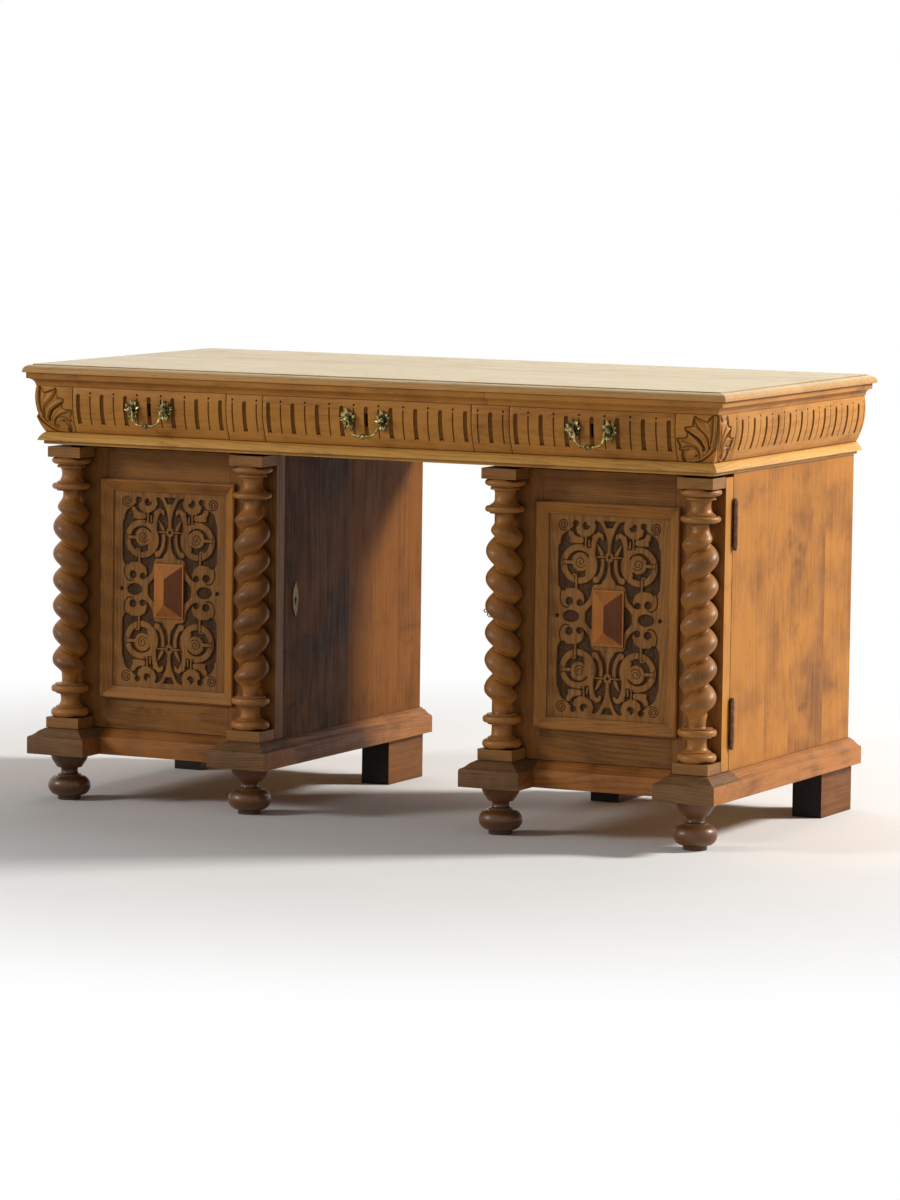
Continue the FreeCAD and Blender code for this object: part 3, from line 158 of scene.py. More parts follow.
def oak(name, light, dark, rough=0.42, ring=0.2, streak=0.35, blotch=0.5, pore=0.4, fleck=0.15,
        upper=None, coat=0.0, soil_and_shade=0.6, index=1.3):
    """Oak in its own space: X along the grain, the heart of the log at Y and Z zero.

    Light and dark are the wood's two colours, and upper the two of faces that look up, where they
    differ. Ring, streak, blotch, pore and fleck say how much of each figure shows.
    """
    light, dark = colour(light), colour(dark)
    g = Graph(bpy.data.materials.new(name))
    space = g.add("Attribute", {"attribute_name": "wood"}).outputs["Vector"]
    tone = g.add("Attribute", {"attribute_name": "tone"}).outputs["Fac"]
    dirt = g.add("Attribute", {"attribute_name": "dirt"}).outputs["Fac"]
    wander = g.add("TexNoise", Vector=g.scaled(space, (2.6, 6.0, 6.0)), Scale=1.0, Detail=2.0)
    shift = g.add("VectorMath", {"operation": "SCALE"}, Vector=wander.outputs["Color"],
                  Scale=WANDER)
    bent = g.vector("ADD", space, shift.outputs[0])
    rings = g.add("TexWave", {"wave_type": "RINGS", "rings_direction": "X", "wave_profile": "SAW"},
                  Vector=bent, Scale=0.314 / RING_WIDTH, Distortion=1.6, Detail=2.0,
                  Detail_Scale=1.3).outputs["Fac"]
    growth = g.ramp(rings, 0.35, 1.0)
    coarse = g.ramp(g.noise(g.scaled(bent, (5.0, 130.0, 130.0))), 0.34, 0.70)
    fine = g.ramp(g.noise(g.scaled(bent, (16.0, 700.0, 700.0)), detail=2.0), 0.30, 0.72)
    pores = g.ramp(g.noise(g.scaled(bent, (55.0, 1500.0, 1500.0)), detail=1.0), 0.60, 0.70)
    pores = g.math("MULTIPLY", pores, g.ramp(rings, 0.2, 0.9, 0.25, 1.0))
    rays = g.noise(g.scaled(bent, (38.0, 26.0, 240.0)), detail=1.0, distortion=0.4)
    rays = g.ramp(rays, 0.60, 0.70)
    cloud = g.ramp(g.noise(g.scaled(space, (9.0, 8.0, 8.0))), 0.24, 0.80)
    knots = g.ramp(g.noise(g.scaled(space, (20.0, 12.0, 12.0)), detail=2.0), 0.60, 0.80)
    amount = g.math("MULTIPLY", growth, ring)
    for figure, share in ((coarse, streak * 0.7), (fine, streak * 0.5), (cloud, blotch),
                          (knots, blotch * 0.45)):
        amount = g.math("MULTIPLY_ADD", figure, share, amount)
    amount = g.ramp(g.math("ADD", amount, tone), 0.1, 1.15)
    base = g.mix(amount, light, dark)
    if upper:
        level = g.add("SeparateXYZ", Vector=g.add("NewGeometry").outputs["Normal"]).outputs["Z"]
        bleached = g.mix(amount, *map(colour, upper))
        base = g.mix(g.ramp(level, 0.55, 0.9), base, bleached)
    base = g.mix(g.math("MULTIPLY", rays, fleck), base, light)
    base = g.mix(g.math("MULTIPLY", pores, pore), base, darkened(dark, 0.30))
    # Darker where the ambient occlusion finds surfaces close by: painted shade in crevices. The
    # darkness attribute read above adds painted shade in carved hollows and grime at board edges.
    near = g.add("AmbientOcclusion", {"samples": 4}, Distance=0.012).outputs["AO"]
    soiled_and_shaded = g.math("MULTIPLY", g.ramp(near, 0.35, 0.92, soil_and_shade, 0.0), 0.9)
    soiled_and_shaded = g.math("MAXIMUM", soiled_and_shaded, g.math("MULTIPLY", dirt, 0.97))
    base = g.mix(soiled_and_shaded, base, darkened(dark, 0.08))
    gloss = g.math("MULTIPLY_ADD", coarse, 0.14, rough - 0.07)
    gloss = g.math("MULTIPLY_ADD", pores, 0.2, gloss)
    gloss = g.math("MULTIPLY_ADD", dirt, 0.25, gloss)
    height = g.math("MULTIPLY_ADD", pores, -0.6, g.math("MULTIPLY", fine, 0.25))
    height = g.math("MULTIPLY_ADD", growth, -0.25, height)
    relief = g.add("Bump", Strength=0.35, Distance=0.0006, Height=height)
    return g.show(g.add("BsdfPrincipled", Base_Color=base, Roughness=gloss,
                        Normal=relief.outputs[0], Coat_Weight=coat, Coat_Roughness=0.3,
                        IOR=index).outputs[0])


def metal(name, base, high, patina, rough, metallic=0.9, spread=0.5):
    """Old cast metal: bright on what is rubbed, dull and coloured in the hollows."""
    g = Graph(bpy.data.materials.new(name))
    place = g.add("TexCoord").outputs["Object"]
    grain = g.noise(place, scale=420.0, detail=4.0)
    cloud = g.ramp(g.noise(place, scale=95.0, rough=0.6), 0.38, 0.64)
    near = g.add("AmbientOcclusion", {"samples": 4}, Distance=0.004).outputs["AO"]
    hollow = g.ramp(near, 0.35, 0.95, 1.0, 0.0)
    amount = g.math("MULTIPLY_ADD", cloud, -spread * 0.5, hollow)
    amount = g.math("ADD", amount, g.ramp(grain, 0.35, 0.75, 0.0, spread))
    amount = g.ramp(amount, 0.1, 0.9)
    skin = g.mix(amount, g.mix(cloud, colour(base), colour(high)), colour(patina))
    relief = g.add("Bump", Strength=0.35, Distance=0.0003, Height=grain)
    return g.show(g.add("BsdfPrincipled", Base_Color=skin,
                        Roughness=g.math("MULTIPLY_ADD", amount, 0.35, rough),
                        Metallic=g.math("MULTIPLY_ADD", amount, -0.5, metallic),
                        Normal=relief.outputs[0]).outputs[0])


# How far the wood's rings wander, and how far apart they are, in metres
WANDER = 0.028
RING_WIDTH = 4.5 * MM
# Light and dark colour of each wood, and how it differs from the usual
WOODS = {
    "oak_top": ((214, 156, 78), (132, 86, 38), dict(
        rough=0.38, ring=0.25, blotch=0.18, pore=0.35, soil_and_shade=0.5, index=1.45,
        upper=((219, 199, 154), (172, 139, 94)))),
    "oak_case": ((206, 141, 62), (124, 74, 30), dict(rough=0.48, ring=0.12, streak=0.2)),
    "oak_side": ((192, 125, 45), (116, 68, 24), dict(rough=0.5, ring=0.08, streak=0.12,
                                                     blotch=0.75)),
    "oak_moulding": ((234, 176, 88), (160, 106, 46), dict(blotch=0.3, coat=0.05)),
    "oak_column": ((178, 118, 54), (98, 58, 24), dict(
        rough=0.4, ring=0.1, streak=0.12, blotch=0.4, pore=0.15, fleck=0.1, coat=0.06, soil_and_shade=0.9,
        index=1.35)),
    "oak_block": ((166, 116, 62), (98, 64, 32), dict(rough=0.45, ring=0.15, blotch=0.4)),
    # Door frames: a darker oak that is painted shade
    "oak_door": ((160, 106, 48), (98, 61, 26), dict(rough=0.46, streak=0.4, blotch=0.45)),
    "oak_bead": ((176, 118, 54), (104, 64, 28), dict(rough=0.4, streak=0.3, blotch=0.3,
                                                     soil_and_shade=0.75)),
    "oak_carved": ((164, 112, 54), (98, 60, 26), dict(rough=0.45, streak=0.4, blotch=0.3)),
    "oak_boss": ((196, 124, 62), (124, 70, 32), dict(rough=0.38, ring=0.1, streak=0.25,
                                                     soil_and_shade=0.2)),
    # The boss's right-facing slopes: a darker copy of its oak, painted shade
    "oak_boss_dark": ((134, 78, 42), (84, 44, 24), dict(ring=0.1, streak=0.25, soil_and_shade=0.2)),
    "oak_plinth": ((180, 116, 56), (102, 62, 28), dict(rough=0.48, streak=0.28, blotch=0.6)),
    "oak_weathered": ((136, 98, 61), (78, 55, 35), dict(rough=0.55, streak=0.28, blotch=0.6)),
    "oak_foot": ((112, 70, 33), (60, 37, 18), dict(rough=0.34, ring=0.06, streak=0.15, coat=0.15,
                                                   soil_and_shade=0.7, index=1.4)),
    "oak_rear": ((126, 76, 30), (68, 38, 13), dict(rough=0.55, ring=0.1, streak=0.3)),
    # Front faces of the rear feet: near black, painted shade
    "oak_black": ((36, 32, 28), (20, 18, 16), dict(rough=0.6)),
    # Kneehole side boards: a darker oak that is painted shade
    "oak_shade": ((138, 84, 30), (66, 37, 13), dict(rough=0.55, ring=0.1, streak=0.2, blotch=0.6,
                                                    index=1.2)),
    "oak_inner": ((150, 94, 42), (78, 48, 22), dict(rough=0.5, blotch=0.6, fleck=0.2)),
    "secondary_wood": ((206, 168, 118), (150, 108, 66), dict(rough=0.62, blotch=0.25, pore=0.25,
                                                             soil_and_shade=0.4))}
# Colour, rubbed colour and patina of each metal
METALS = {
    "aged_brass": ((120, 104, 60), (190, 172, 112), (46, 42, 24), dict(rough=0.34)),
    "dull_brass": ((104, 88, 46), (132, 114, 66), (52, 44, 24), dict(rough=0.45, metallic=0.6)),
    "old_steel": ((74, 62, 54), (110, 98, 86), (36, 26, 22), dict(rough=0.42, metallic=0.8)),
    "brown_iron": ((102, 68, 46), (136, 98, 70), (50, 32, 24), dict(rough=0.45, metallic=0.5))}
LOOKS = {name: oak(name, *tints, **settings) for name, (*tints, settings) in WOODS.items()}
LOOKS |= {name: metal(name, *tints, **settings) for name, (*tints, settings) in METALS.items()}
SLOTS = {entry["node"]: entry["material_slot"] for entry in frame["record"]["subparts"]}


# Meshes

# Share of boards cut through the heart, metres from the heart, degrees from which an edge wears
QUARTER_SHARE = 0.3
HEART_AWAY = (0.05, 0.14)
WORN_ANGLE = 28


def wood_space(points, axis=None, figure="any"):
    """Places points in a log: grain along X, and the heart some way off the board.

    Figure is how the board was cut from the log: flat, quarter, or any.
    """
    low, high = points.min(0), points.max(0)
    if axis is None:
        axis = int(np.argmax(high - low))
    thin, wide = sorted((i for i in range(3) if i != axis), key=lambda i: high[i] - low[i])
    middle = (low + high) / 2
    lean = 0.25 if figure == "flat" else 0.5
    turn = random.uniform(-lean, lean)
    if figure == "quarter" or (figure == "any" and random.random() < QUARTER_SHARE):
        turn += math.pi / 2
    heart = random.uniform(*HEART_AWAY)
    along = points[:, axis] - middle[axis]
    tilt = random.uniform(0.02, 0.06) * random.choice([-1, 1])
    return np.stack([
        along + random.uniform(1, 9),
        points[:, thin] - middle[thin] + heart * math.cos(turn) + along * tilt,
        points[:, wide] - middle[wide] + heart * math.sin(turn)], -1)


def patch(points, faces, axis=None, figure="any", dirt=None, tone=None, look=None):
    """One body of wood or metal: points in metres, faces, and what the looks need to know.

    Grime and painted shade are given for the first points. Look is the name of its look, or one
    name for each face, where it isn't the whole piece's.
    """
    count = len(points)
    shade = random.uniform(-0.12, 0.12) if tone is None else tone
    soiled_and_shaded = np.zeros(count)
    if dirt is not None:
        soiled_and_shaded[:dirt.size] = dirt.ravel()
    return {"points": points, "faces": faces, "wood": wood_space(points, axis, figure),
            "dirt": soiled_and_shaded, "tone": np.broadcast_to(shade, count), "look": look}


def piece(name, patches, nodes, body, look, sharp=38.0, bevel=0.0, outward=True):
    """Makes one object from patches; it stands for the CAD nodes and rides on their body."""
    points = np.concatenate([p["points"] for p in patches])
    faces, names = [], []
    start = 0
    for p in patches:
        faces.extend([[start + i for i in face] for face in p["faces"]])
        start += len(p["points"])
        own = p["look"] or look
        names.extend(own if isinstance(own, list) else [own] * len(p["faces"]))
    mesh = bpy.data.meshes.new(name)
    mesh.from_pydata(points.tolist(), [], faces)
    for key in ("wood", "dirt", "tone"):
        values = np.concatenate([p[key] for p in patches]).astype(np.float32)
        kind, field = ("FLOAT_VECTOR", "vector") if values.ndim == 2 else ("FLOAT", "value")
        mesh.attributes.new(key, kind, "POINT").data.foreach_set(field, values.ravel())
    if outward:
        work = bmesh.new()
        work.from_mesh(mesh)
        bmesh.ops.recalc_face_normals(work, faces=work.faces)
        work.to_mesh(mesh)
        work.free()
    mesh.shade_smooth()
    if not bevel:
        mesh.set_sharp_from_angle(angle=math.radians(sharp))
    thing = bpy.data.objects.new(name, mesh)
    bpy.context.scene.collection.objects.link(thing)
    if bevel:
        edge = thing.modifiers.new("worn_edges", "BEVEL")
        edge.limit_method = "ANGLE"
        edge.angle_limit = math.radians(WORN_ANGLE)
        edge.width = bevel
        edge.segments = 2
        edge.harden_normals = True
    looks = sorted(set(names))
    for one in looks:
        mesh.materials.append(LOOKS[one])
    mesh.polygons.foreach_set("material_index", [looks.index(one) for one in names])
    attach(thing, body)
    if nodes:
        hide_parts(*nodes)
    return thing


def solids(node):
    """The closed solids of a CAD node, each with its points merged."""
    mesh = frame["nodes"][node].data
    points = np.empty(len(mesh.vertices) * 3, np.float32)
    mesh.vertices.foreach_get("co", points)
    points = points.reshape(-1, 3).astype(float)
    keys = np.round(points * 1e6).astype(np.int64)
    _, first, same = np.unique(keys, axis=0, return_index=True, return_inverse=True)
    loops = np.empty(len(mesh.loops), np.int32)
    mesh.loops.foreach_get("vertex_index", loops)
    triangles = same.reshape(-1)[loops].reshape(-1, 3)
    triangles = triangles[(triangles != np.roll(triangles, 1, axis=1)).all(1)]
    points = points[first]
    found, unmatched, start = [], set(), 0
    for end, (a, b, c) in enumerate(triangles.tolist(), 1):
        for edge in ((a, b), (b, c), (c, a)):
            if edge[::-1] in unmatched:
                unmatched.remove(edge[::-1])
            else:
                unmatched.add(edge)
        if not unmatched or end == len(triangles):
            used, local = np.unique(triangles[start:end], return_inverse=True)
            found.append((points[used], local.reshape(-1, 3)))
            start = end
    return found


def to_bmesh(points, faces):
    work = bmesh.new()
    corners = [work.verts.new(p) for p in points]
    for face in faces:
        ring = [corners[i] for i in face]
        if not work.faces.get(ring):
            work.faces.new(ring)
    return work


def from_bmesh(work):
    work.verts.index_update()
    points = np.array([v.co for v in work.verts])
    faces = [[v.index for v in face.verts] for face in work.faces]
    work.free()
    return points, faces


def flattened(points, faces):
    """The same solid with its flat faces joined up, so that its edges can be worn round."""
    work = to_bmesh(points, faces)
    bmesh.ops.dissolve_limit(work, angle_limit=0.008, verts=work.verts, edges=work.edges)
    return from_bmesh(work)


def sawn(points, faces, across, joints):
    """Parts a solid into the boards it is glued up from, at places along one direction."""
    parts = [(points, faces)]
    for place in joints:
        rest = parts.pop()
        for keep in (-1, 1):
            work = to_bmesh(*rest)
            normal, spot = Vector(), Vector()
            normal[across], spot[across] = keep, place
            everything = work.verts[:] + work.edges[:] + work.faces[:]
            bmesh.ops.bisect_plane(work, geom=everything, plane_co=spot, plane_no=normal,
                                   clear_inner=True)
            parts.append(from_bmesh(work))
    return parts


def worn(node, axis=None, figure="any", bevel=0.7, look=None, sharp=38.0, across=None, joints=(),
         tones=(None,), kind=None):
    """A CAD node again, with its sharp edges worn round as wide as bevel, in millimetres.

    Across and joints say where its solids part into boards, and tones how dark each board is.
    Kind is the grain's axis and what gives each face its look, or gives the two from the corners
    of a solid's box.
    """
    patches = []
    for points, triangles in solids(node):
        own = kind(points.min(0), points.max(0)) if callable(kind) else kind
        grain, facing = own or (axis, None)
        faces = triangles.tolist()
        if bevel:
            points, faces = flattened(points, faces)
        for board in sawn(points, faces, across, joints):
            shade = tones[len(patches) % len(tones)]
            names = facing(*board) if facing else None
            patches.append(patch(*board, grain, figure, tone=shade, look=names))
    body = frame["nodes"][node]["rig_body"]
    return piece(node + "_look", patches, [node], body, look or SLOTS[node], sharp, bevel * MM,
                 outward=False)


def slab(front, back, cap=True):
    """A closed shell from a grid of front points (rows, columns, 3) and where its rim goes to."""
    rows, columns = front.shape[:2]
    points = front.reshape(-1, 3)
    index = np.arange(rows * columns).reshape(rows, columns)
    quads = np.stack([index[:-1, :-1], index[:-1, 1:], index[1:, 1:], index[1:, :-1]], -1)
    rim = np.concatenate([index[0, :-1], index[:-1, -1], index[-1, :0:-1], index[:0:-1, 0]])
    behind = back(points[rim])
    far = np.arange(len(rim)) + len(points)
    sides = np.stack([rim, far, np.roll(far, -1), np.roll(rim, -1)], -1)
    faces = quads.reshape(-1, 4).tolist() + sides.tolist()
    if cap:
        faces.append(far.tolist())
    return np.concatenate([points, behind]), faces


def moved_to(axes, place):
    """Takes the rim of a relief straight back to a plane, or to a line, in millimetres."""

    def back(rim):
        out = rim.copy()
        out[:, axes] = np.array(place) * MM
        return out

    return back


# The convex frieze, its flutes and its carved corners

corner_low, corner_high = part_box("frieze_corners")
FRIEZE_LOW, FRIEZE_HIGH = corner_low.z / MM, corner_high.z / MM
BULGE, BULGE_HEIGHT, BLOCK = 17.0, 61.0, 64.0
CASE_X = corner_high.x / MM - BULGE
CASE_FRONT = corner_low.y / MM + BULGE
ARC = (BULGE_HEIGHT**2 + BULGE**2) / (2 * BULGE)
PITCH = (CASE_X - BLOCK) / 24.5
SIDE_LEAF, SIDE_FLUTE, SIDE_PITCH = 52.0, 59.0, 26.8
BOARD = 22.0
FRONT_GAP, STILE_GAP = 0.8, 0.05
FRIEZE_BACK = CASE_FRONT + 6.0
FLUTE_LOW = FRIEZE_LOW + 16.0
WIDE_HIGH = FLUTE_LOW + 55.0
LINE_HIGH = FLUTE_LOW + 52.0
DOT_Z = LINE_HIGH + 5.2
KEYHOLE_Z = FRIEZE_HIGH - 35.5
KEYHOLE_HALF, KEYHOLE_REACH, KEYHOLE_DEPTH = 3.4, 11.5, 15.0
# Half width and depth of a wide flute, of a thin line, and radius and depth of the dot above it
FLUTE_HALF, FLUTE_DEPTH = 4.0, 4.3
LINE_HALF, LINE_DEPTH = 1.35, 2.6
DOT_RADIUS, DOT_DEPTH = 2.0, 2.8
# Distances from the middle of a flute or line at which the mesh is cut
WIDE_STEPS = (0, 0.95, 1.9, 2.8, 3.5, 3.85, 4.05, 5.0)
THIN_STEPS = (0, 0.35, 0.75, 1.1, 1.4, 1.8, 2.05, 3.0)


def swell(z):
    """How far the frieze stands out at a height."""
    return BULGE - ARC + np.sqrt(ARC**2 - (z - FRIEZE_LOW - BULGE_HEIGHT)**2)


def frieze_rows():
    """Heights at which the mesh of the frieze is cut, close together where flutes end."""
    edge = [0.0, 0.35, 0.9, 2.0, 5.0, 9.0, 13.0, 15.4]
    foot = np.arange(15.8, 21.2, 0.45)
    middle = np.arange(22.5, 64.5, 2.6)
    head = np.arange(66.0, 76.0, 0.45)
    rows = np.concatenate([edge, foot, middle, head, [77.0, 79.0, 81.0, 82.1, 82.65, 83.0]])
    ends = KEYHOLE_REACH + np.array([-0.1, 0.1])
    keyhole = KEYHOLE_Z - FRIEZE_LOW + np.concatenate([-ends, ends])
    return np.unique(np.concatenate([rows, keyhole])) + FRIEZE_LOW


def thin_line(off, h):
    """Depth of a cut line and the dot above it, at a distance to the side and a height."""
    ends = np.clip(np.minimum(h - FLUTE_LOW, LINE_HIGH - h) / 0.9, 0, 1)
    cut = LINE_DEPTH * np.clip(1 - off / LINE_HALF, 0, 1) ** 0.7 * ends
    dot = np.hypot(off, h - DOT_Z) / DOT_RADIUS
    return np.maximum(cut, DOT_DEPTH * np.sqrt(np.clip(1 - dot**2, 0, 1)))


def wide_flute(off, h):
    """Depth of a gouged flute, round at its head and forked at its foot."""
    top = WIDE_HIGH - FLUTE_HALF
    across = np.where(h > top, np.hypot(off, h - top), off) / FLUTE_HALF
    cut = FLUTE_DEPTH * np.clip(1 - across**2.6, 0, 1) ** (1 / 2.6)
    foot = h - FLUTE_LOW - 3.0 * (1 - np.clip(off / FLUTE_HALF, 0, 1))
    return cut * np.clip(foot / 0.8, 0, 1) * (across < 1)


def worn_rim(rim):
    """How deep a board is worn at a distance from its edge, and how much grime darkens it there."""
    return 0.7 * np.clip(1 - rim / 0.9, 0, 1) ** 2, 0.5 * np.clip(1 - rim / 0.7, 0, 1)


def flute_relief(along, z, start, end, flutes, keyhole):
    """Depth of a stretch of frieze, with gouged flutes, cut lines and dots, and how dark it is:
    painted shade in the cuts and grime at the edges.
    """
    depth = np.zeros((len(z), len(along)))
    s, h = np.meshgrid(along, z)
    for place, wide in flutes:
        cut = (wide_flute if wide else thin_line)(np.abs(s - place), h)
        depth = np.maximum(depth, cut)
    # Flutes, cut lines and dots are darker the deeper they go: painted shade.
    dirt = np.clip(depth / FLUTE_DEPTH, 0, 1) ** 1.5 * 0.55
    dirt = np.where((depth > 0.6) & (depth < 2.9), np.maximum(dirt, depth / 2.9 * 0.75), dirt)
    # The keyhole is dark inside: painted shade.
    if keyhole is not None:
        hole = (np.abs(s - keyhole) < KEYHOLE_HALF) & (np.abs(h - KEYHOLE_Z) < KEYHOLE_REACH)
        depth = np.where(hole, KEYHOLE_DEPTH, depth)
        dirt = np.where(hole, 1.1, dirt)
    rim = np.minimum(np.minimum(s - start, end - s), np.minimum(h - z[0], z[-1] - h))
    wear, soil_and_shade = worn_rim(rim)
    return depth + wear, np.maximum(dirt, soil_and_shade)


def flute_columns(start, end, flutes, keyhole):
    """Places along a board at which its mesh is cut."""
    lines = [start, start + 0.3, start + 0.8, end - 0.8, end - 0.3, end]
    for place, wide in flutes:
        for step in WIDE_STEPS if wide else THIN_STEPS:
            lines += [place - step, place + step]
    if keyhole is not None:
        for step in (KEYHOLE_HALF - 0.05, KEYHOLE_HALF + 0.05):
            lines += [keyhole - step, keyhole + step]
    lines = np.unique(np.round(lines, 3))
    return lines[(lines >= start) & (lines <= end)]


def stretch(start, end, flutes, axis, place, back, keyhole=None):
    """A fluted board; place gives the points of its face from their run, height and depth."""
    z = frieze_rows()
    run = flute_columns(start, end, flutes, keyhole)
    depth, dirt = flute_relief(run, z, start, end, flutes, keyhole)
    grid = np.stack(place(*np.meshgrid(run, z), depth), -1) * MM
    return patch(*slab(grid, back), axis, "flat", dirt)


def front_stretch(start, end, flutes, keyhole=None):
    """A length of frieze board along the front."""
    behind = CASE_FRONT + BOARD if keyhole is None else FRIEZE_BACK
    return stretch(start, end, flutes, 0, lambda s, h, depth: (s, CASE_FRONT - swell(h) + depth, h),
                   moved_to(1, behind), keyhole)


def side_stretch(sign):
    """The frieze board along one side."""
    flutes = [(CASE_FRONT + SIDE_FLUTE + i * SIDE_PITCH, i % 2 == 1) for i in range(1, 24)]
    return stretch(CASE_FRONT + BLOCK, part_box("frieze_sides")[1].y / MM, flutes, 1,
                   lambda s, h, depth: (sign * (CASE_X + swell(h) - depth), s, h),
                   moved_to(0, sign * (CASE_X - BOARD)))


def from_segment(u, v, a, b):
    """Distance to a straight piece of line, and the share of it up to the nearest point."""
    ex, ey = b[0] - a[0], b[1] - a[1]
    t = np.clip(((u - a[0]) * ex + (v - a[1]) * ey) / (ex * ex + ey * ey + 1e-9), 0, 1)
    return np.hypot(u - a[0] - ex * t, v - a[1] - ey * t), t


def to_stroke(u, v, line):
    """Distance to a line of (u, v, half width) points, and the half width at the nearest one."""
    best = np.full(u.shape, 1e9)
    width = np.ones(u.shape)
    for a, b in zip(line[:-1], line[1:]):
        far, t = from_segment(u, v, a, b)
        width = np.where(far < best, a[2] + (b[2] - a[2]) * t, width)
        best = np.minimum(far, best)
    return best, width


def in_outline(u, v, outline):
    """Distance to an outline, positive inside it."""
    best = np.full(u.shape, 1e9)
    inside = np.zeros(u.shape, bool)
    for a, b in zip(outline, outline[1:] + outline[:1]):
        best = np.minimum(best, from_segment(u, v, a, b)[0])
        if a[1] != b[1]:
            crosses = (a[1] > v) != (b[1] > v)
            inside ^= crosses & (u < (b[0] - a[0]) * (v - a[1]) / (b[1] - a[1]) + a[0])
    return np.where(inside, best, -best)


# Leaf of a corner block, drawn in units of LEAF_UNIT millimetres, right and down from the
# top left; the corner edge of the block and the foot of the frieze meet at LEAF_CORNER
LEAF_UNIT = 0.1014
LEAF_CORNER = (813, 868)
LEAF_OUTLINE = [
    (745, 70), (700, 100), (660, 145), (637, 185), (600, 160), (540, 138), (480, 122), (430, 82),
    (405, 125), (388, 185), (386, 255), (320, 262), (247, 280), (262, 330), (288, 355),
    (290, 432), (230, 462), (115, 466), (135, 515), (165, 565), (190, 598), (186, 655),
    (240, 660), (240, 715), (258, 780), (296, 835), (345, 864), (420, 874), (500, 872),
    (570, 862), (635, 822), (705, 745), (760, 665), (800, 590), (816, 520), (816, 60)]
LEAF_HOLLOWS = [
    [(745, 75), (730, 200), (722, 320), (722, 440), (710, 560), (685, 650), (640, 735),
     (590, 790), (520, 815)],
    [(418, 130), (430, 190), (465, 265), (530, 325), (600, 385), (650, 445), (676, 520),
     (678, 600), (655, 690)],
    [(300, 350), (350, 385), (420, 425), (485, 465), (540, 520), (572, 580), (588, 650)],
    [(200, 500), (290, 530), (370, 558), (440, 590), (500, 650), (535, 720), (545, 780)],
    [(232, 620), (290, 596), (370, 592), (440, 612), (495, 655), (528, 715), (530, 770)],
    [(243, 662), (330, 652), (400, 668), (438, 702), (455, 750), (470, 770)]]
LEAF_RIDGES = [
    [(640, 195), (662, 260), (688, 340), (700, 430), (702, 520), (695, 600), (670, 680)],
    [(437, 100), (475, 175), (535, 250), (610, 320), (668, 395), (697, 480), (700, 570)],
    [(388, 262), (440, 285), (505, 330), (570, 385), (625, 455), (655, 535), (660, 610),
     (640, 690)],
    [(255, 285), (330, 312), (410, 355), (490, 400), (560, 455), (610, 530), (630, 610),
     (620, 700)],
    [(310, 375), (370, 425), (435, 480), (500, 550), (545, 620), (575, 690), (585, 750)],
    [(125, 472), (190, 478), (260, 480), (320, 500), (400, 545), (470, 600), (520, 670),
     (550, 740)],
    [(195, 640), (240, 632), (310, 620), (390, 630), (460, 662), (510, 708), (530, 758),
     (520, 800), (480, 822)]]
LEAF_STEM = [
    (365, 848), (430, 850), (500, 845), (560, 822), (620, 778), (680, 702), (722, 610),
    (750, 500), (762, 380), (772, 250), (780, 75)]
DEEP_HOLLOW = LEAF_HOLLOWS[2]
CURL_CENTRE, CURL_RADIUS = (388, 738), 8.6
CURL_EYE, CURL_EYE_RADIUS = (488, 748), 2.2
STEM_RADIUS = 2.5
LEAF_DEPTH = 3.8
LEAF_SCALE = 0.925


def drawn(points):
    """Points of the leaf's drawing as millimetres from the corner edge and above the foot."""
    right, foot = LEAF_CORNER
    return [((right - x) * LEAF_UNIT, (foot - y) * LEAF_UNIT) for x, y in points]


def to_line(e, h, points):
    """Distance to a drawn line."""
    return to_stroke(e, h, [(x, y, 0) for x, y in drawn(points)])[0]


def drawn_disc(e, h, centre, radius, outside, inside):
    """1 in a drawn disc and 0 outside it, with a soft edge from outside to inside its radius."""
    (x, y), = drawn([centre])
    return smooth(radius + outside, radius - inside, np.hypot(e - x, h - y))


def leaf_relief(e, h):
    """Depth of the carved leaf on one face of a corner block, and its painted shade, darkest in the
    deep hollows and the curl's eye.
    """
    inside = in_outline(e, h, drawn(LEAF_OUTLINE))
    ridge = np.minimum.reduce([to_line(e, h, line) for line in LEAF_RIDGES])
    hollow = np.minimum.reduce([to_line(e, h, line) for line in LEAF_HOLLOWS])
    hollow = np.minimum(hollow, np.maximum(inside, 0) + 0.4)
    slope = ridge / (ridge + hollow + 1e-6)
    deeper = 1 + 0.6 * np.exp(-(to_line(e, h, DEEP_HOLLOW) / 2.5) ** 2)
    depth = LEAF_DEPTH * slope**1.1 * deeper
    disc = drawn_disc(e, h, CURL_CENTRE, CURL_RADIUS, 0.7, 0.2)
    depth = depth * (1 - disc) + 0.6 * disc
    eye = drawn_disc(e, h, CURL_EYE, CURL_EYE_RADIUS, 0, 1.0)
    depth += 3.0 * eye
    stem = to_line(e, h, LEAF_STEM) / STEM_RADIUS
    round_stem = 0.2 + 2.3 * (1 - np.sqrt(np.clip(1 - stem**2, 0, 1)))
    depth = np.where(stem < 1, round_stem, depth)
    depth = np.where(inside > 0, depth, LEAF_DEPTH * smooth(-1.7, -0.1, inside))
    # Darker the deeper the carving goes, and in the curl's eye: painted shade.
    dirt = np.clip(0.06 + 0.8 * smooth(1.8, 4.4, depth), 0, 1) * smooth(-2.0, 0.0, inside)
    return depth, np.maximum(dirt, 0.8 * eye)


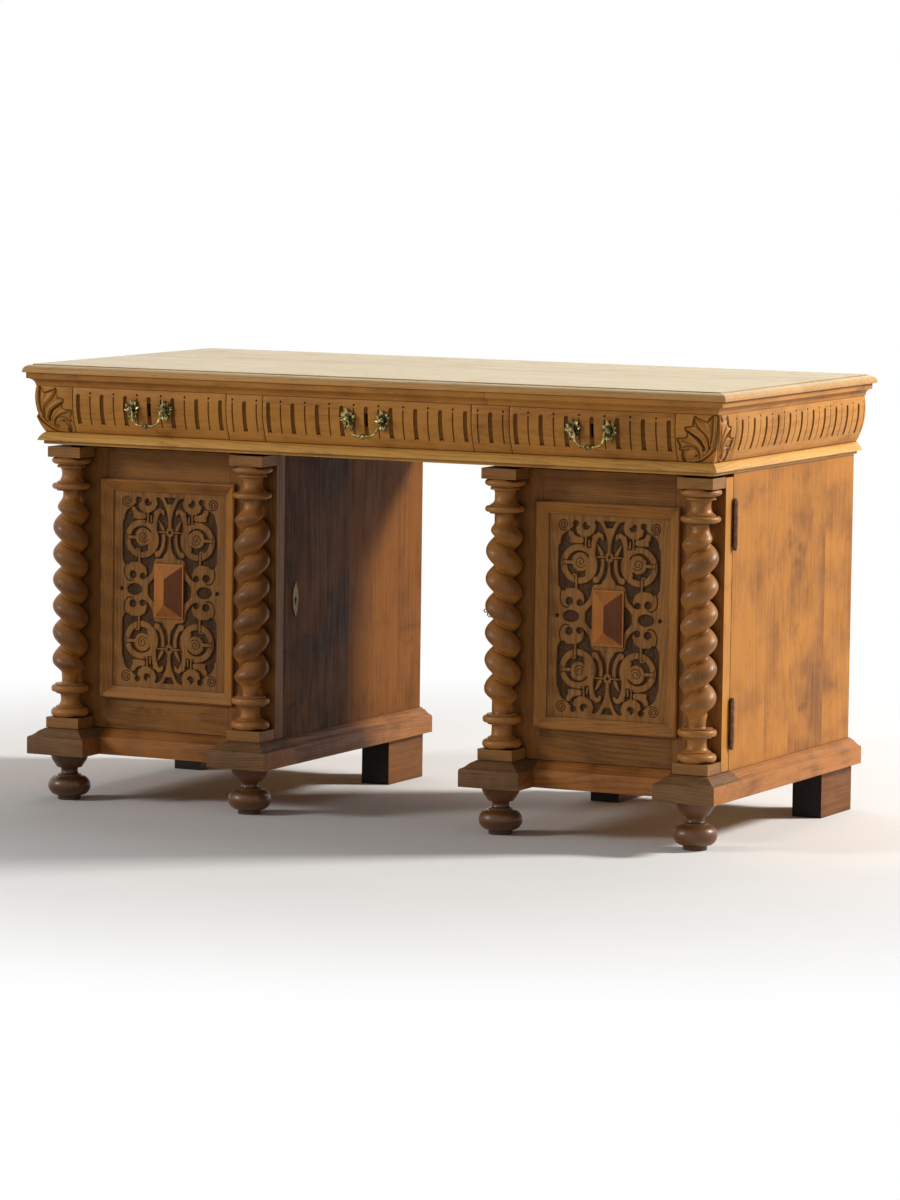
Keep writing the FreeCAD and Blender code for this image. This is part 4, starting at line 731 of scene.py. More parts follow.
def corner_block(sign):
    """A carved block at a front corner: one relief that turns round the corner edge."""
    z = np.concatenate([[0, 0.35, 0.8], np.arange(1.5, 81.6, 0.75), [82.2, 82.65, 83]]) + FRIEZE_LOW
    share = np.concatenate([[0, 0.005, 0.012], np.linspace(0.02, 1, 116)])
    s, h = np.meshgrid(share, z)
    out = swell(h)
    width = BLOCK + out
    from_edge, up = (1 - s) * width, h - FRIEZE_LOW
    depth, dirt = leaf_relief(from_edge * LEAF_SCALE, up)
    side_depth, side_dirt_and_shade = leaf_relief(from_edge * LEAF_SCALE * width / (SIDE_LEAF + out), up)
    away = from_edge - out
    cut = thin_line(np.abs(away - SIDE_FLUTE), h)
    side_depth = np.where(away > SIDE_LEAF, cut, side_depth)
    # The cut line on the side is darkened by its depth: painted shade.
    side_dirt_and_shade = np.where(away > SIDE_LEAF, np.clip(cut / 2.9, 0, 1) * 0.8, side_dirt_and_shade)
    wear, soil_and_shade = worn_rim(np.minimum(np.minimum(h - z[0], z[-1] - h), s * width))
    depth, side_depth = depth + wear, side_depth + wear
    dirt, side_dirt_and_shade = np.maximum(dirt, soil_and_shade), np.maximum(side_dirt_and_shade, 0.8 * soil_and_shade)
    corner = depth[:, -1:]
    side_depth[:, -1:] = corner
    reach = s * (width - corner)
    face = np.stack([CASE_X - BLOCK + reach, CASE_FRONT - out + depth, h], -1)
    turned = np.stack([CASE_X + out - side_depth, CASE_FRONT + BLOCK - reach, h], -1)
    grid = np.concatenate([face, turned[:, -2::-1]], 1)
    grid[..., 0] *= sign
    back = moved_to([0, 1], [sign * (CASE_X - BLOCK), CASE_FRONT + BLOCK])
    dirt = np.concatenate([dirt, side_dirt_and_shade[:, -2::-1]], 1)
    return patch(*slab(grid * MM, back, cap=False), 0, "flat", dirt)


def build_frieze():
    """Drawer fronts, each with the rear of its CAD solid, and the fixed parts between them."""
    centre_edge, outer_start, outer_end = 8.5 * PITCH, 11.5 * PITCH, CASE_X - BLOCK
    for name, start, end, count in (("left", -outer_end, -outer_start, 13),
                                    ("centre", -centre_edge, centre_edge, 17),
                                    ("right", outer_start, outer_end, 13)):
        flutes = [(start + (i + 0.5) * PITCH, i % 2 == 0) for i in range(count)]
        node = f"drawer_{name}_front"
        parts = [front_stretch(start + FRONT_GAP, end - FRONT_GAP, flutes, (start + end) / 2)]
        for points, triangles in solids(node):
            rear = sawn(points, triangles.tolist(), 1, [FRIEZE_BACK * MM])[-1]
            parts.append(patch(*rear, 0, "flat"))
        piece(node + "_look", parts, [node], f"drawer_{name}", "oak_case", outward=False)
    stiles = []
    for start in (-outer_start, centre_edge):
        flutes = [(start + (i + 0.5) * PITCH, i == 1) for i in range(3)]
        stiles.append(front_stretch(start + STILE_GAP, start + 3 * PITCH - STILE_GAP, flutes))
    piece("frieze_stiles_look", stiles, ["frieze_stiles"], "case", "oak_case")
    for node, build in (("frieze_sides", side_stretch), ("frieze_corners", corner_block)):
        piece(node + "_look", [build(-1), build(1)], [node], "case", "oak_case")


# The strapwork of the door panels, one quarter of it, in millimetres: points out from the upright
# middle line and up from the level one, then half width or radius; RING and OVAL have two radii,
# and a curl is its centre, outer and inner radius, turns, first angle and half width

FIELD = [
    (96.9, 123.9), (93.3, 124.4), (92.9, 132.2), (89.5, 140.5), (83.3, 145.8), (76.2, 149.4),
    (71.2, 154.4), (68.6, 157.2), (63.2, 156.2), (64.7, 152.9), (58.3, 147.6), (51.2, 143.6),
    (42.6, 144.8), (34, 150.1), (29.7, 157.9), (29.5, 165.1), (26.2, 168.6), (18.6, 165.4),
    (14, 158.6), (9.7, 149.4), (5.7, 139.4), (3.3, 126.5), (3.7, 113.6), (1.9, 105.6),
    (1.9, 95.1), (3.3, 77.9), (6.2, 69.4), (12.3, 63.6), (13.3, 57.6), (28.3, 57.6),
    (32.3, 50.8), (33.3, 42.2), (36.2, 32.9), (41.9, 25.8), (48.3, 20.8), (51.2, 19.1),
    (56.9, 20.8), (62.6, 42.2), (81.2, 42.2), (89, 45.1), (92.6, 45.8), (93.3, 50.5),
    (96.9, 52.2)]
BESIDE_BOSS = [(28.3, 24.4), (36.9, 16.5), (42.3, 10.5), (44, 6.5), (44, -1), (28.3, -1)]
HEAD_NOTCH = [(11.5, 167.9), (-1.7, 167.9), (-1.7, 156.5), (5.5, 156.5)]
LEAF = [
    (78.3, 148.6), (70.5, 149.6), (68.3, 144.4), (62.6, 139.6), (48, 138.2), (48, 127.1),
    (71.2, 127.1), (76.6, 129.6), (73.7, 133.9), (76, 138.2), (79, 143.6)]
EYES = [(64.3, 161.9, 5.4), (74.7, 26.2, 6.9), (54.9, 24.2, 5.7), (97.6, 0, 3.4), (0, 105.6, 2.6)]
COMMA = (44.3, 158.6, 6.7)
RING = (56.9, 91.5, 34.7, 23.4)
DISCS = [(54.3, 95.4, 16.7), (0, 105.6, 8.6)]
OVAL = (71.2, 0, 15.2, 10.4)
SCROLL = [
    (62.6, 152.9, 1.7), (59, 147.6, 3.7), (51.2, 143.6, 5.1), (42.6, 144.8, 5.4),
    (34.7, 149.6, 5.7), (30.7, 157.2, 5.1), (31.7, 164.8, 4), (36.6, 169.1, 3.1),
    (41.5, 167.1, 2.6), (42.3, 163.6, 2.4), (39.5, 161.4, 2.9)]
STRAPS = [
    SCROLL,
    [(45.2, 142.2, 2.1), (45.2, 120.8, 1.9)],
    [(45.2, 120.8, 1.6), (49.5, 120.2, 1.6)],
    [(38.7, 133.4, 1.9), (38.7, 123.9, 1.9)],
    [(13.3, 138.2, 2.6), (15.5, 142.5, 4), (20.3, 144.2, 4.6), (25.2, 140.5, 4.9),
     (29.2, 132.2, 5.2), (31.9, 122.2, 5.8), (32.9, 110.8, 6.3), (32.9, 99.4, 6.3),
     (34.3, 87.9, 6.4), (39, 76.5, 6.4)],
    [(31.5, 140.1, 2), (29.7, 144.2, 0.6)],
    [(86.6, 93.9, 3.4), (68.3, 93.9, 3.4)],
    [(62.3, 46.5, 2.3), (62.3, 71.5, 2.1)],
    [(62.3, 72.5, 1.9), (68, 73.1, 1.7)],
    [(22.9, 126.5, 1.1), (18.3, 119.1, 3.1), (14, 110.5, 3.6), (12.3, 100.5, 3.6),
     (12.3, 90.5, 3.6), (14, 80.5, 3.6), (17.5, 72.2, 3.7), (21.9, 67.1, 4.6)],
    [(23.7, 65.6, 5.7), (24.9, 65.4, 6)],
    [(22.9, 105.4, 1.7), (5.5, 105.6, 2.1)],
    [(75.5, 40.1, 8.9), (81.2, 34.4, 9.1), (85.7, 26.2, 5.7), (83.7, 20.1, 3.4), (78.9, 20.5, 2.1)],
    [(62.6, 40.1, 8.9), (55.5, 35.8, 8.6), (50, 29.4, 4.9), (49, 25.4, 2)],
    [(68.3, 39.4, 10), (65.5, 29.4, 4.3), (64.3, 16.5, 5.7)]]
CUT_LINES = [
    [(88.3, 101.1, 0.7), (88.3, 85.6, 0.7)],
    [(89.5, 45.1, 0.9), (92, 37.9, 0.9), (92.6, 29.4, 0.9), (90, 21.4, 0.9), (84.7, 15.9, 0.9),
     (78.6, 14.8, 0.9), (74.3, 17.1, 0.7)],
    [(48, 137.9, 0.6), (48, 122.2, 0.6), (51.2, 121.9, 0.6)],
    [(42.3, 136.5, 0.7), (42.3, 120.8, 0.7), (35.2, 120.8, 0.7), (35.2, 136.5, 0.7),
     (42.3, 136.5, 0.7)],
    [(65.5, 69.4, 0.6), (65.5, 52.2, 0.6)],
    [(59.2, 74.4, 0.6), (59.2, 52.2, 0.6)],
    [(23.3, 107.9, 0.6), (6.2, 107.9, 0.6)],
    [(23.3, 103.1, 0.6), (6.2, 103.1, 0.6)],
    [(86.2, 97.6, 0.6), (69, 97.6, 0.6)],
    [(86.2, 90.1, 0.6), (69, 90.1, 0.6)]]
CURLS = [(54.3, 95.4, 10.6, 1.8, 1.6, -2.6, 0.5), (87.2, 159.1, 10.6, 1.6, 2.1, -2.2, 0.7)]
PANEL_STEP, PANEL_RIM = 0.85, 6.0
GROUND_DEPTH, CUT_DEPTH = 3.4, 1.3


def rounded(outline, times=2):
    """Cuts the corners of an outline until it runs in curves."""
    for _ in range(times):
        cut = []
        for (ax, ay), (bx, by) in zip(outline, outline[1:] + outline[:1]):
            cut.append((ax * 0.75 + bx * 0.25, ay * 0.75 + by * 0.25))
            cut.append((ax * 0.25 + bx * 0.75, ay * 0.25 + by * 0.75))
        outline = cut
    return outline


def in_stroke(u, v, line):
    far, width = to_stroke(u, v, line)
    return width - far


def in_disc(u, v, x, y, radius):
    return radius - np.hypot(u - x, v - y)


def curled_line(x, y, outer, inner, turns, start, half):
    """A spiral line from its outer end to its eye."""
    line = []
    for step in np.linspace(0, 1, int(turns * 26)):
        angle = start + turns * 2 * math.pi * step
        radius = outer + (inner - outer) * step
        line.append((x + radius * math.cos(angle), y + radius * math.sin(angle), half))
    return line


def strapwork(u, v):
    """How far inside the sunk ground, and how far inside a cut line, each point is."""
    ground = [in_outline(u, v, line) for line in (rounded(FIELD), BESIDE_BOSS, HEAD_NOTCH)]
    x, y, outer, inner = RING
    away = np.hypot(u - x, v - y)
    straps = [in_outline(u, v, rounded(LEAF, 1)), np.minimum(outer - away, away - inner)]
    straps += [in_stroke(u, v, line) for line in STRAPS]
    straps += [in_disc(u, v, *disc) for disc in DISCS]
    x, y, wide, tall = OVAL
    sunk = [np.minimum(np.maximum.reduce(ground), -np.maximum.reduce(straps)),
            np.minimum(in_disc(u, v, *COMMA), -in_stroke(u, v, SCROLL)),
            (1 - np.hypot((u - x) / wide, (v - y) / tall)) * tall]
    sunk += [in_disc(u, v, *eye) for eye in EYES]
    cuts = [in_stroke(u, v, line) for line in CUT_LINES + [curled_line(*curl) for curl in CURLS]]
    return np.maximum.reduce(sunk), np.maximum.reduce(cuts)


def unfolded(quarter):
    """The whole panel from its upper right quarter."""
    upper = np.concatenate([quarter[:, :0:-1], quarter], 1)
    return np.concatenate([upper[:0:-1], upper])


def build_panel(side):
    """A door panel with strapwork left standing over a sunk, punched ground."""
    node = f"door_{side}_panel"
    low, high = (np.array(corner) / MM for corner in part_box(node))
    half, middle = (high - low) / 2, (high + low) / 2
    u, v = (np.concatenate([np.arange(0, end, PANEL_STEP), [size - PANEL_RIM, size]])
            for end, size in ((102, half[0]), (173, half[2])))
    sunk, cuts = strapwork(*np.meshgrid(u, v))
    pressed = smooth(-0.35, 0.75, sunk)
    rounding = 0.35 * np.clip(1 + sunk / 1.3, 0, 1) ** 2 * (sunk < 0)
    depth = GROUND_DEPTH * pressed + rounding + CUT_DEPTH * smooth(-0.45, 0.45, cuts)
    # The sunk ground and the cut lines are darkened, and the straps a little along their edges:
    # painted shade.
    dirt = np.maximum(0.98 * smooth(-0.5, 0.5, sunk), 0.95 * smooth(-0.5, 0.3, cuts))
    dirt = np.maximum(dirt, 0.35 * np.exp(np.minimum(sunk, 0) / 0.9))
    depth, dirt, pressed = unfolded(depth), unfolded(dirt), unfolded(pressed)
    depth = depth + pressed * random.uniform(-0.35, 0.35, depth.shape)
    dirt = np.clip(dirt + pressed * random.uniform(-0.35, 0.05, dirt.shape), 0, 1)
    x, z = middle[0] + np.concatenate([-u[:0:-1], u]), middle[2] + np.concatenate([-v[:0:-1], v])
    s, h = np.meshgrid(x, z)
    grid = np.stack([s, low[1] + depth, h], -1) * MM
    board = patch(*slab(grid, moved_to(1, high[1])), 2, "flat", dirt, 0.05)
    piece(node + "_look", [board], [node], f"door_{side}", "oak_carved", sharp=50)


# Brass

def ring_faces(rings, sides, way=1):
    """Faces between rings of points that follow each other."""
    faces = []
    for start in range(0, (rings - 1) * sides, sides):
        for i in range(sides):
            j = (i + 1) % sides
            faces.append([start + i, start + j, start + sides + j, start + sides + i][::way])
    return faces


def tube(path, radii, sides=14):
    """A round bar along a path, closed at both ends."""
    path = np.array(path, float)
    rings = []
    tangent = np.gradient(path, axis=0)
    tangent /= np.linalg.norm(tangent, axis=1)[:, None]
    guide = np.array([0.0, 1.0, 0.0]) if abs(tangent[0][1]) < 0.9 else np.array([1.0, 0.0, 0.0])
    angles = np.linspace(0, 2 * math.pi, sides, endpoint=False)
    for point, way, radius in zip(path, tangent, radii):
        one = np.cross(way, guide)
        one /= np.linalg.norm(one)
        two = np.cross(way, one)
        rings.append(point + radius * (np.outer(np.cos(angles), one)
                                       + np.outer(np.sin(angles), two)))
    last = (len(path) - 1) * sides
    ends = [list(range(sides)), list(range(last, last + sides))]
    return np.concatenate(rings), ring_faces(len(path), sides) + ends


def leaf(root, angle, length, width, lift, curl, twist=0.0, rows=9, columns=7):
    """One cast leaf: a dished, ribbed blade that rises from a plate, out towards -Y."""
    t = np.linspace(0, 1, rows)[:, None]
    c = np.linspace(-1, 1, columns)[None, :]
    half = width * np.sin(math.pi * np.clip(t * 0.9 + 0.08, 0, 1)) ** 0.8
    across = half * (1 - 0.25 * np.cos(t * 9) * (np.abs(c) > 0.6)) * c
    along = length * t + 0 * c
    out = lift * np.sin(math.pi * t * 0.75) + curl * t**3 + twist * c * t
    out = out + 0.9 * np.abs(c) ** 1.4 - 0.8 * np.exp(-(c * 5) ** 2)
    dx = along * math.cos(angle) - across * math.sin(angle)
    dz = along * math.sin(angle) + across * math.cos(angle)
    front = np.stack([root[0] + dx, root[1] - out, root[2] + dz], -1)
    return slab(front, lambda rim: rim + np.array([0, LEAF_THICK, 0]))


LEAF_THICK = 1.1
ROSE_OUT = 34.0
# Post of a handle from the drawer front outwards: a stem and the knob on its end
STEM_REACH, STEM_RADII = 12.0, [5.5, 5.2, 4.4, 3.6, 3.4, 4.4, 4.6, 2.0]
KNOB_START, KNOB_REACH, KNOB_RADII = 9.8, 4.2, [1.2, 2.9, 3.6, 3.7, 3.2, 2.2, 0.4]
# Right half of a bail: millimetres out from its middle and up from its pins
BAIL_DROP = -28.6
BAIL_OUTLINE = [(33.5, 0), (31.0, -0.6), (28.6, -3), (27.6, -8), (27.6, -14), (25.6, -20),
                (20.5, -25.2), (14, -27.6), (8, -28.4), (3.5, BAIL_DROP), (0, BAIL_DROP)]


def cast(parts, unit=MM):
    """Patches of brass from points and faces."""
    return [patch(points * unit, faces, 0, tone=0.0) for points, faces in parts]


def rose(centre, sign):
    """Leaves of a handle's rose: an outer ring, an inner ring, three that hang, and the post."""
    parts = []
    for index in range(9):
        angle = 0.35 + 2 * math.pi * index / 9
        reach = 14.5 + 3.5 * math.sin(angle) + random.uniform(-1.8, 1.8)
        parts.append(leaf(centre, angle, reach, 4.8, 2.4, random.uniform(-1, 1.5),
                          random.uniform(-1.5, 1.5)))
    for index in range(6):
        angle = 0.1 + 2 * math.pi * index / 6
        parts.append(leaf(centre + np.array([0, -2.6, 0.8]), angle, random.uniform(7, 9), 3.2, 2.6,
                          random.uniform(0, 1.2), random.uniform(-1, 1)))
    for shift, angle in ((-3.0, -1.9), (0, -1.57), (3.0, -1.2)):
        root = centre + np.array([shift - sign * 2, -0.4, -7])
        parts.append(leaf(root, angle, 12.5, 3.0, 1.2, 0.0))
    for start, reach, radii in ((-2.5, STEM_REACH, STEM_RADII),
                                (KNOB_START, KNOB_REACH, KNOB_RADII)):
        path = [centre + np.array([0, -start - k, 0]) for k in np.linspace(0, reach, len(radii))]
        parts.append(tube(path, radii))
    return parts


def bail(middle, pivot):
    """The drop bail, thicker in beads at its bends and middle, with a flower there."""
    steps = np.arange(6 * (len(BAIL_OUTLINE) - 1) + 1) / 6
    fine = np.stack([np.interp(steps, np.arange(len(BAIL_OUTLINE)), line)
                     for line in zip(*BAIL_OUTLINE)], -1)
    for _ in range(4):
        fine[1:-1] = (fine[:-2] + fine[1:-1] * 2 + fine[2:]) / 4
    whole = np.concatenate([fine * [-1, 1], fine[-2::-1]])
    reach = np.abs(whole[:, 0])
    radii = 1.45 + 0.8 * smooth(24, 8, reach) + 0.9 * np.exp(-((reach - 8.2) / 1.1) ** 2)
    radii += 0.9 * np.exp(-((reach - 25.5) / 1.3) ** 2) + 2.2 * np.exp(-(reach / 3.0) ** 2)
    x, z = middle + whole[:, 0], pivot[2] + whole[:, 1]
    path = np.stack([x, np.full(len(whole), pivot[1]), z], -1)
    root = np.array([middle, pivot[1] - 1.0, pivot[2] + BAIL_DROP])
    return [tube(path, radii)] + [leaf(root, angle, 6.0, 2.0, 1.8, 0.6)
                                  for angle in np.linspace(0, 2 * math.pi, 6, endpoint=False)]


def build_handle(name):
    """Two foliate roses, the nuts behind them, and the bail between them."""
    roses, swinging = f"handle_{name}_roses", f"handle_{name}_bail"
    low, high = (np.array(corner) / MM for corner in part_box(roses))
    middle = (low[0] + high[0]) / 2
    joint = next(j for j in frame["joints"] if j["name"] == f"handle_{name}_swing")
    pivot = np.array(joint["pos_m"]) / MM
    patches = []
    for sign in (-1, 1):
        centre = np.array([middle + sign * ROSE_OUT, CASE_FRONT - BULGE - 1.5, pivot[2] + 0.5])
        patches += cast(rose(centre, sign))
    nuts = [(points, triangles.tolist()) for points, triangles in solids(roses)
            if points[:, 1].min() > (CASE_FRONT + 10) * MM]
    piece(roses + "_look", patches + cast(nuts, 1.0), [roses], f"drawer_{name}", "aged_brass",
          sharp=55)
    piece(swinging + "_look", cast(bail(middle, pivot)), [swinging], f"handle_{name}",
          "aged_brass", sharp=60)


# Everything together

# Nail heads in the lower moulding: places along the front and along the right side
FRONT_NAILS = (-622, -438, -196, 62, 286, 486, 632)
SIDE_NAILS = (-300, -258, -150, 20, 190, 305)
NAIL_SIDES, NAIL_RADIUS = 12, 1.7


def build_nails():
    """Dark nail heads left in the lower moulding, whose face leans back by 0.75 to 1."""
    angles = np.linspace(0, 2 * math.pi, NAIL_SIDES, endpoint=False)
    across, up = NAIL_RADIUS * np.cos(angles), NAIL_RADIUS * np.sin(angles)
    reach, height = 5.5 - up * 0.75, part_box("lower_moulding")[1].z / MM - 6.5 + up
    rings = [(np.stack([x + across, CASE_FRONT - reach, height], -1), np.array([0, 1.6, -0.6]))
             for x in FRONT_NAILS]
    rings += [(np.stack([CASE_X + reach, y + across, height], -1), np.array([-1.6, 0, -0.6]))
              for y in SIDE_NAILS]
    ends = [list(range(NAIL_SIDES)), list(range(NAIL_SIDES, 2 * NAIL_SIDES))]
    heads = []
    for ring, inward in rings:
        points = np.concatenate([ring - inward * 0.25, ring + inward]) * MM
        heads.append(patch(points, ring_faces(2, NAIL_SIDES) + ends, 0, tone=0.0))
    piece("moulding_nails", heads, [], "case", "old_steel")


def by_facing(names, axis, way=0, least=0.9):
    """Names a look for each face: the second where it looks along an axis, the first elsewhere.

    Way is the axis's sign, or 0 for either; least is the cosine up to which a face counts.
    """

    def chosen(points, faces):
        found = []
        for face in faces:
            corners = points[list(face)]
            normal = np.cross(corners, np.roll(corners, -1, 0)).sum(0)
            normal = normal / (np.linalg.norm(normal) + 1e-12)
            along = normal[axis] * way if way else abs(normal[axis])
            found.append(names[1] if along > least else names[0])
        return found

    return chosen


def plinth_part(low, high):
    """Blocks under the columns are weathered in front; the grain runs along each rail."""
    size = high - low
    if size[0] < 0.2 and high[1] < 0:
        return 0, by_facing(("oak_weathered", "oak_plinth"), 0)
    return (0 if size[0] > size[1] else 1), None


def door_part(low, high):
    """A door frame is darker, as painted shade, except its outer edge, which is as light as the
    case.
    """
    return None, by_facing(("oak_door", "oak_case"), 0, 1 if high[0] > 0 else -1)


def bulged(radius, reach, start, end):
    """Radius and height pairs of a half round moulding."""
    middle, half = (start + end) / 2, (end - start) / 2
    angles = np.linspace(-math.pi / 2, math.pi / 2, 13)
    return [(radius + (reach - radius) * math.cos(a), middle + half * math.sin(a)) for a in angles]


# Turned ends of a column: radius and millimetres from its block
BASE_BLOCK, CAP_BLOCK = 19.0, 17.5
CAP_END = bulged(25.8, 35.5, 0, 13.3) + [
    (24.6, 13.6), (24.6, 15.7), (25.8, 15.9), (25.8, 19.1), (21.0, 19.3), (19.4, 20.6),
    (17.9, 24.5), (17.1, 29.3), (17.2, 33.0), (18.3, 37.5), (20.0, 41.0), (23.0, 44.5),
    (25.5, 44.7), (25.5, 47.5)]
CAP_END += bulged(30.0, 34.6, 47.6, 58.0) + [(26.1, 58.1), (26.1, 60.5), (0.5, 60.6)]
BASE_END = bulged(25.0, 34.2, 0, 17.0) + [
    (24.7, 17.1), (24.7, 19.5), (21.5, 20.7), (19.0, 23.0), (17.7, 25.4), (16.7, 29.0),
    (16.5, 32.4), (16.9, 37.0), (18.3, 42.9), (25.2, 43.0), (25.2, 45.9)]
BASE_END += bulged(30.0, 33.9, 46.0, 57.6) + [(27.0, 57.7), (27.0, 60.6), (0.5, 60.7)]
# Heights over a block that the CAD's twist has and that are seen in the photo: end of the turning,
# start of the full twist, and a place from where both agree
CAD_ENDS = np.array((66.0, 76.0, 150.0))
SEEN_ENDS = np.array((60.5, 71.5, 150.0))
TURNED_SIDES = 56
CAP_RISE = 1.5
# How much darker the left door's columns are: painted shade
LEFT_PAINTED_SHADE = 0.14


def turned_end(profile, centre, block_face, way, behind):
    """A turned end of a column, flat where it meets the door."""
    angles = np.linspace(0, 2 * math.pi, TURNED_SIDES, endpoint=False)
    rings = []
    for radius, away in profile:
        x = centre[0] + radius * np.cos(angles)
        y = np.minimum(centre[1] + radius * np.sin(angles), behind)
        rings.append(np.stack([x, y, np.full(TURNED_SIDES, block_face + way * away)], -1))
    return np.concatenate(rings) * MM, ring_faces(len(profile), TURNED_SIDES, way)


def build_columns(side):
    """Twisted columns with turned ends between square blocks; the twist's crowns are darker, and
    the left door's columns darker still as painted shade.
    """
    node = f"door_{side}_columns"
    patches = []
    for points, triangles in solids(node):
        level = points[triangles].mean(1)[:, 2] / MM
        low, high = points[:, 2].min() / MM, points[:, 2].max() / MM
        base_top, cap_foot = low + BASE_BLOCK, high - CAP_BLOCK
        flat = (level < base_top + 0.01) | (level > cap_foot - 0.01)
        corners = points[points[:, 2] < (base_top - 1) * MM]
        centre = (corners.min(0) + corners.max(0)) / 2 / MM
        behind = corners[:, 1].max() / MM
        blocks = points.copy()
        blocks[points[:, 2] > (high - 0.01) * MM, 2] += CAP_RISE * MM
        patches.append(patch(blocks, triangles[flat].tolist(), 0, look="oak_block"))
        for profile, face, way in ((BASE_END, base_top, 1), (CAP_END, cap_foot, -1)):
            patches.append(patch(*turned_end(profile, centre, face, way, behind), 2))
        inside = (level > base_top + CAD_ENDS[0] - 0.01) & (level < cap_foot - CAD_ENDS[0] + 0.01)
        known, moved = (np.concatenate([base_top + ends, cap_foot - ends[::-1]])
                        for ends in (CAD_ENDS, SEEN_ENDS))
        twist = points.copy()
        twist[:, 2] = np.interp(points[:, 2] / MM, known, moved) * MM
        away = np.hypot(points[:, 0] / MM - centre[0], points[:, 1] / MM - centre[1])
        crown_tone_and_shade = 0.6 * smooth(19, 33, away) - 0.25 + (LEFT_PAINTED_SHADE if side == "left" else 0)
        patches.append(patch(twist, triangles[inside].tolist(), 2, tone=crown_tone_and_shade))
    piece(node + "_look", patches, [node], f"door_{side}", "oak_column", sharp=50, outward=False)


def build_all():
    """Every piece, in the order in which random numbers are drawn for them."""
    build_frieze()
    for side in SIDES:
        build_panel(side)
        build_columns(side)
        worn(f"door_{side}_frame", bevel=0.8, look="oak_door", kind=door_part)
        worn(f"door_{side}_moulding", bevel=0.5, look="oak_bead")
        # The boss's slopes to the right get a darker oak: painted shade.
        worn(f"door_{side}_boss", bevel=0.5, figure="quarter",
             kind=(2, by_facing(("oak_boss", "oak_boss_dark"), 0, 1, 0.2)))
        worn(f"door_{side}_hinge_leaves", bevel=0.25, look="brown_iron")
    for name in DRAWERS:
        worn(f"drawer_{name}_box", bevel=0.6)
        build_handle(name)
    worn("desktop", axis=0, figure="flat", bevel=0.5)
    worn("cornice_front", bevel=0.5)
    worn("cornice_sides", bevel=0.5)
    worn("lower_moulding", bevel=0.6)
    worn("pedestal_outer_sides", axis=2, figure="flat", bevel=1.0, across=1,
         joints=(-0.07, 0.04, 0.2), tones=(-0.1, -0.04, 0.16, 0.02), look="oak_side")
    # The kneehole's side boards are darker: painted shade.
    worn("pedestal_inner_sides", axis=2, figure="flat", bevel=1.0, across=1,
         joints=(0.03, 0.23), tones=(0.3, -0.15, 0.0), look="oak_shade")
    worn("pedestal_backs", axis=2, bevel=1.0)
    worn("plinths", bevel=1.0, kind=plinth_part)
    # The rear feet's faces towards the front are near black: painted shade.
    worn("rear_feet", bevel=1.0, kind=(1, by_facing(("oak_rear", "oak_black"), 1, -1)))
    for node in ("case_bottom", "top_rails", "case_back", "drawer_partitions", "drawer_guides",
                 "pedestal_boards", "pedestal_shelves", "shelf_cleats"):
        worn(node, bevel=1.0)
    worn("bun_feet", axis=2, bevel=0, sharp=50, look="oak_foot")
    worn("escutcheons", bevel=0.25, sharp=45, look="dull_brass")
    for node in ("hinge_case_leaves", "hinge_pins"):
        worn(node, bevel=0.25, sharp=45, look="brown_iron")
    for node in ("door_lock_cases", "key"):
        worn(node, bevel=0.25, sharp=45)
    build_nails()
    hidden = [f"door_{side}_{part}" for part in ("staple", "bolt") for side in SIDES]
    hidden += [f"drawer_{name}_{part}" for part in ("lock", "bolt") for name in DRAWERS]
    for node in hidden:
        worn(node, bevel=0.25)


build_all()


# Floor, light and camera

FLOOR_REACH = 6.0
WHITE = (1.0, 1.0, 1.0, 1.0)


def build_floor():
    """A pale floor that fades into the white behind it, and keeps the desk's shadow."""
    mesh = bpy.data.meshes.new("floor")
    signs = ((-1, -1), (1, -1), (1, 1), (-1, 1))
    mesh.from_pydata([(x * FLOOR_REACH, y * FLOOR_REACH, 0) for x, y in signs], [], [(0, 1, 2, 3)])
    floor = bpy.data.objects.new("floor", mesh)
    bpy.context.scene.collection.objects.link(floor)
    g = Graph(bpy.data.materials.new("pale_floor"))
    place = g.add("TexCoord").outputs["Object"]
    away = g.add("VectorMath", {"operation": "LENGTH"}, Vector=place).outputs["Value"]
    cloud = g.ramp(g.noise(place, scale=3.0), 0.3, 0.7)
    matt = g.add("BsdfDiffuse", Color=g.mix(cloud, (0.93, 0.93, 0.93, 1), (0.95, 0.95, 0.95, 1)))
    clear = g.add("BsdfTransparent")
    mesh.materials.append(g.show(g.fill(g.add("MixShader"), g.ramp(away, 0.9, 2.2),
                                        matt.outputs[0], clear.outputs[0])))


def build_light(name, place, target, size, power, tint):
    """An area light at a place in metres, turned to a target."""
    data = bpy.data.lights.new(name, "AREA")
    data.shape = "RECTANGLE"
    data.size, data.size_y = size
    data.energy = power
    data.color = tint
    light = bpy.data.objects.new(name, data)
    light.location = place
    way = Vector(target) - Vector(place)
    light.rotation_euler = way.to_track_quat("-Z", "Y").to_euler()
    bpy.context.scene.collection.objects.link(light)


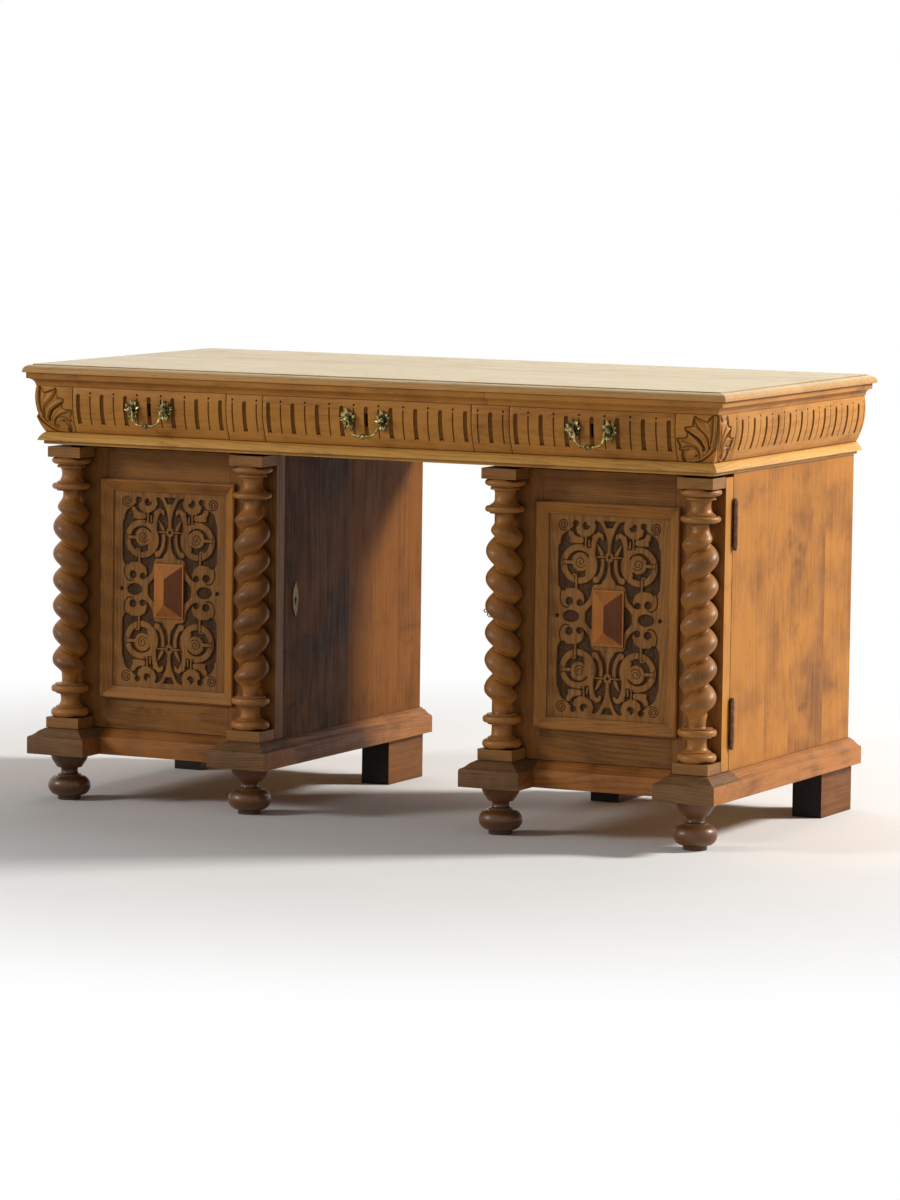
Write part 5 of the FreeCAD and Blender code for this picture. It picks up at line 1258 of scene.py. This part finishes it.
def build_world():
    """White where it is seen or mirrored, and a low even glow on the object."""
    world = bpy.data.worlds.new("studio")
    bpy.context.scene.world = world
    g = Graph(world)
    path = g.add("LightPath").outputs
    mirrored = g.math("MAXIMUM", path["Is Camera Ray"], path["Is Glossy Ray"])
    bright = g.math("MAXIMUM", mirrored, path["Is Transmission Ray"])
    glow = g.add("Background", Color=(1.0, 0.99, 0.97, 1), Strength=GLOW)
    seen = g.add("Background", Color=WHITE, Strength=1.0)
    g.show(g.fill(g.add("MixShader"), bright, glow.outputs[0], seen.outputs[0]), "OutputWorld")


GLOW = 0.16
# The camera fitted to the photo: place in metres, angles in radians, lens in millimetres
CAMERA_PLACE = (4.3014, -8.894575, 1.3494)
YAW, PITCH_UP, ROLL = 0.44990, -0.09855, 0.01356
LENS, SENSOR = 164.97, 36.0


def build_camera():
    ahead = Vector((-math.sin(YAW) * math.cos(PITCH_UP), math.cos(YAW) * math.cos(PITCH_UP),
                    math.sin(PITCH_UP)))
    level = Vector((math.cos(YAW), math.sin(YAW), 0))
    upright = level.cross(ahead)
    right = level * math.cos(ROLL) + upright * math.sin(ROLL)
    up = upright * math.cos(ROLL) - level * math.sin(ROLL)
    data = bpy.data.cameras.new("camera")
    data.lens = LENS
    data.sensor_width = SENSOR
    data.clip_end = 60.0
    camera = bpy.data.objects.new("camera", data)
    rows = zip(right, up, -ahead, CAMERA_PLACE)
    camera.matrix_world = Matrix((*rows, (0, 0, 0, 1)))
    bpy.context.scene.collection.objects.link(camera)
    bpy.context.scene.camera = camera


build_floor()
build_light("window", (4.0, 2.5, 2.9), (-0.2, 0.1, 0.35), (0.9, 0.9), 290, (1.0, 0.97, 0.92))
build_light("front_fill", (-4.4, -3.8, 2.6), (0.0, 0.0, 0.4), (1.3, 1.3), 124, (1.0, 0.98, 0.95))
build_light("ceiling", (-0.4, 1.4, 3.4), (0.0, 0.0, 0.7), (2.6, 2.0), 25, (1.0, 0.98, 0.95))
build_world()
build_camera()
bpy.context.scene.view_settings.view_transform = "Standard"
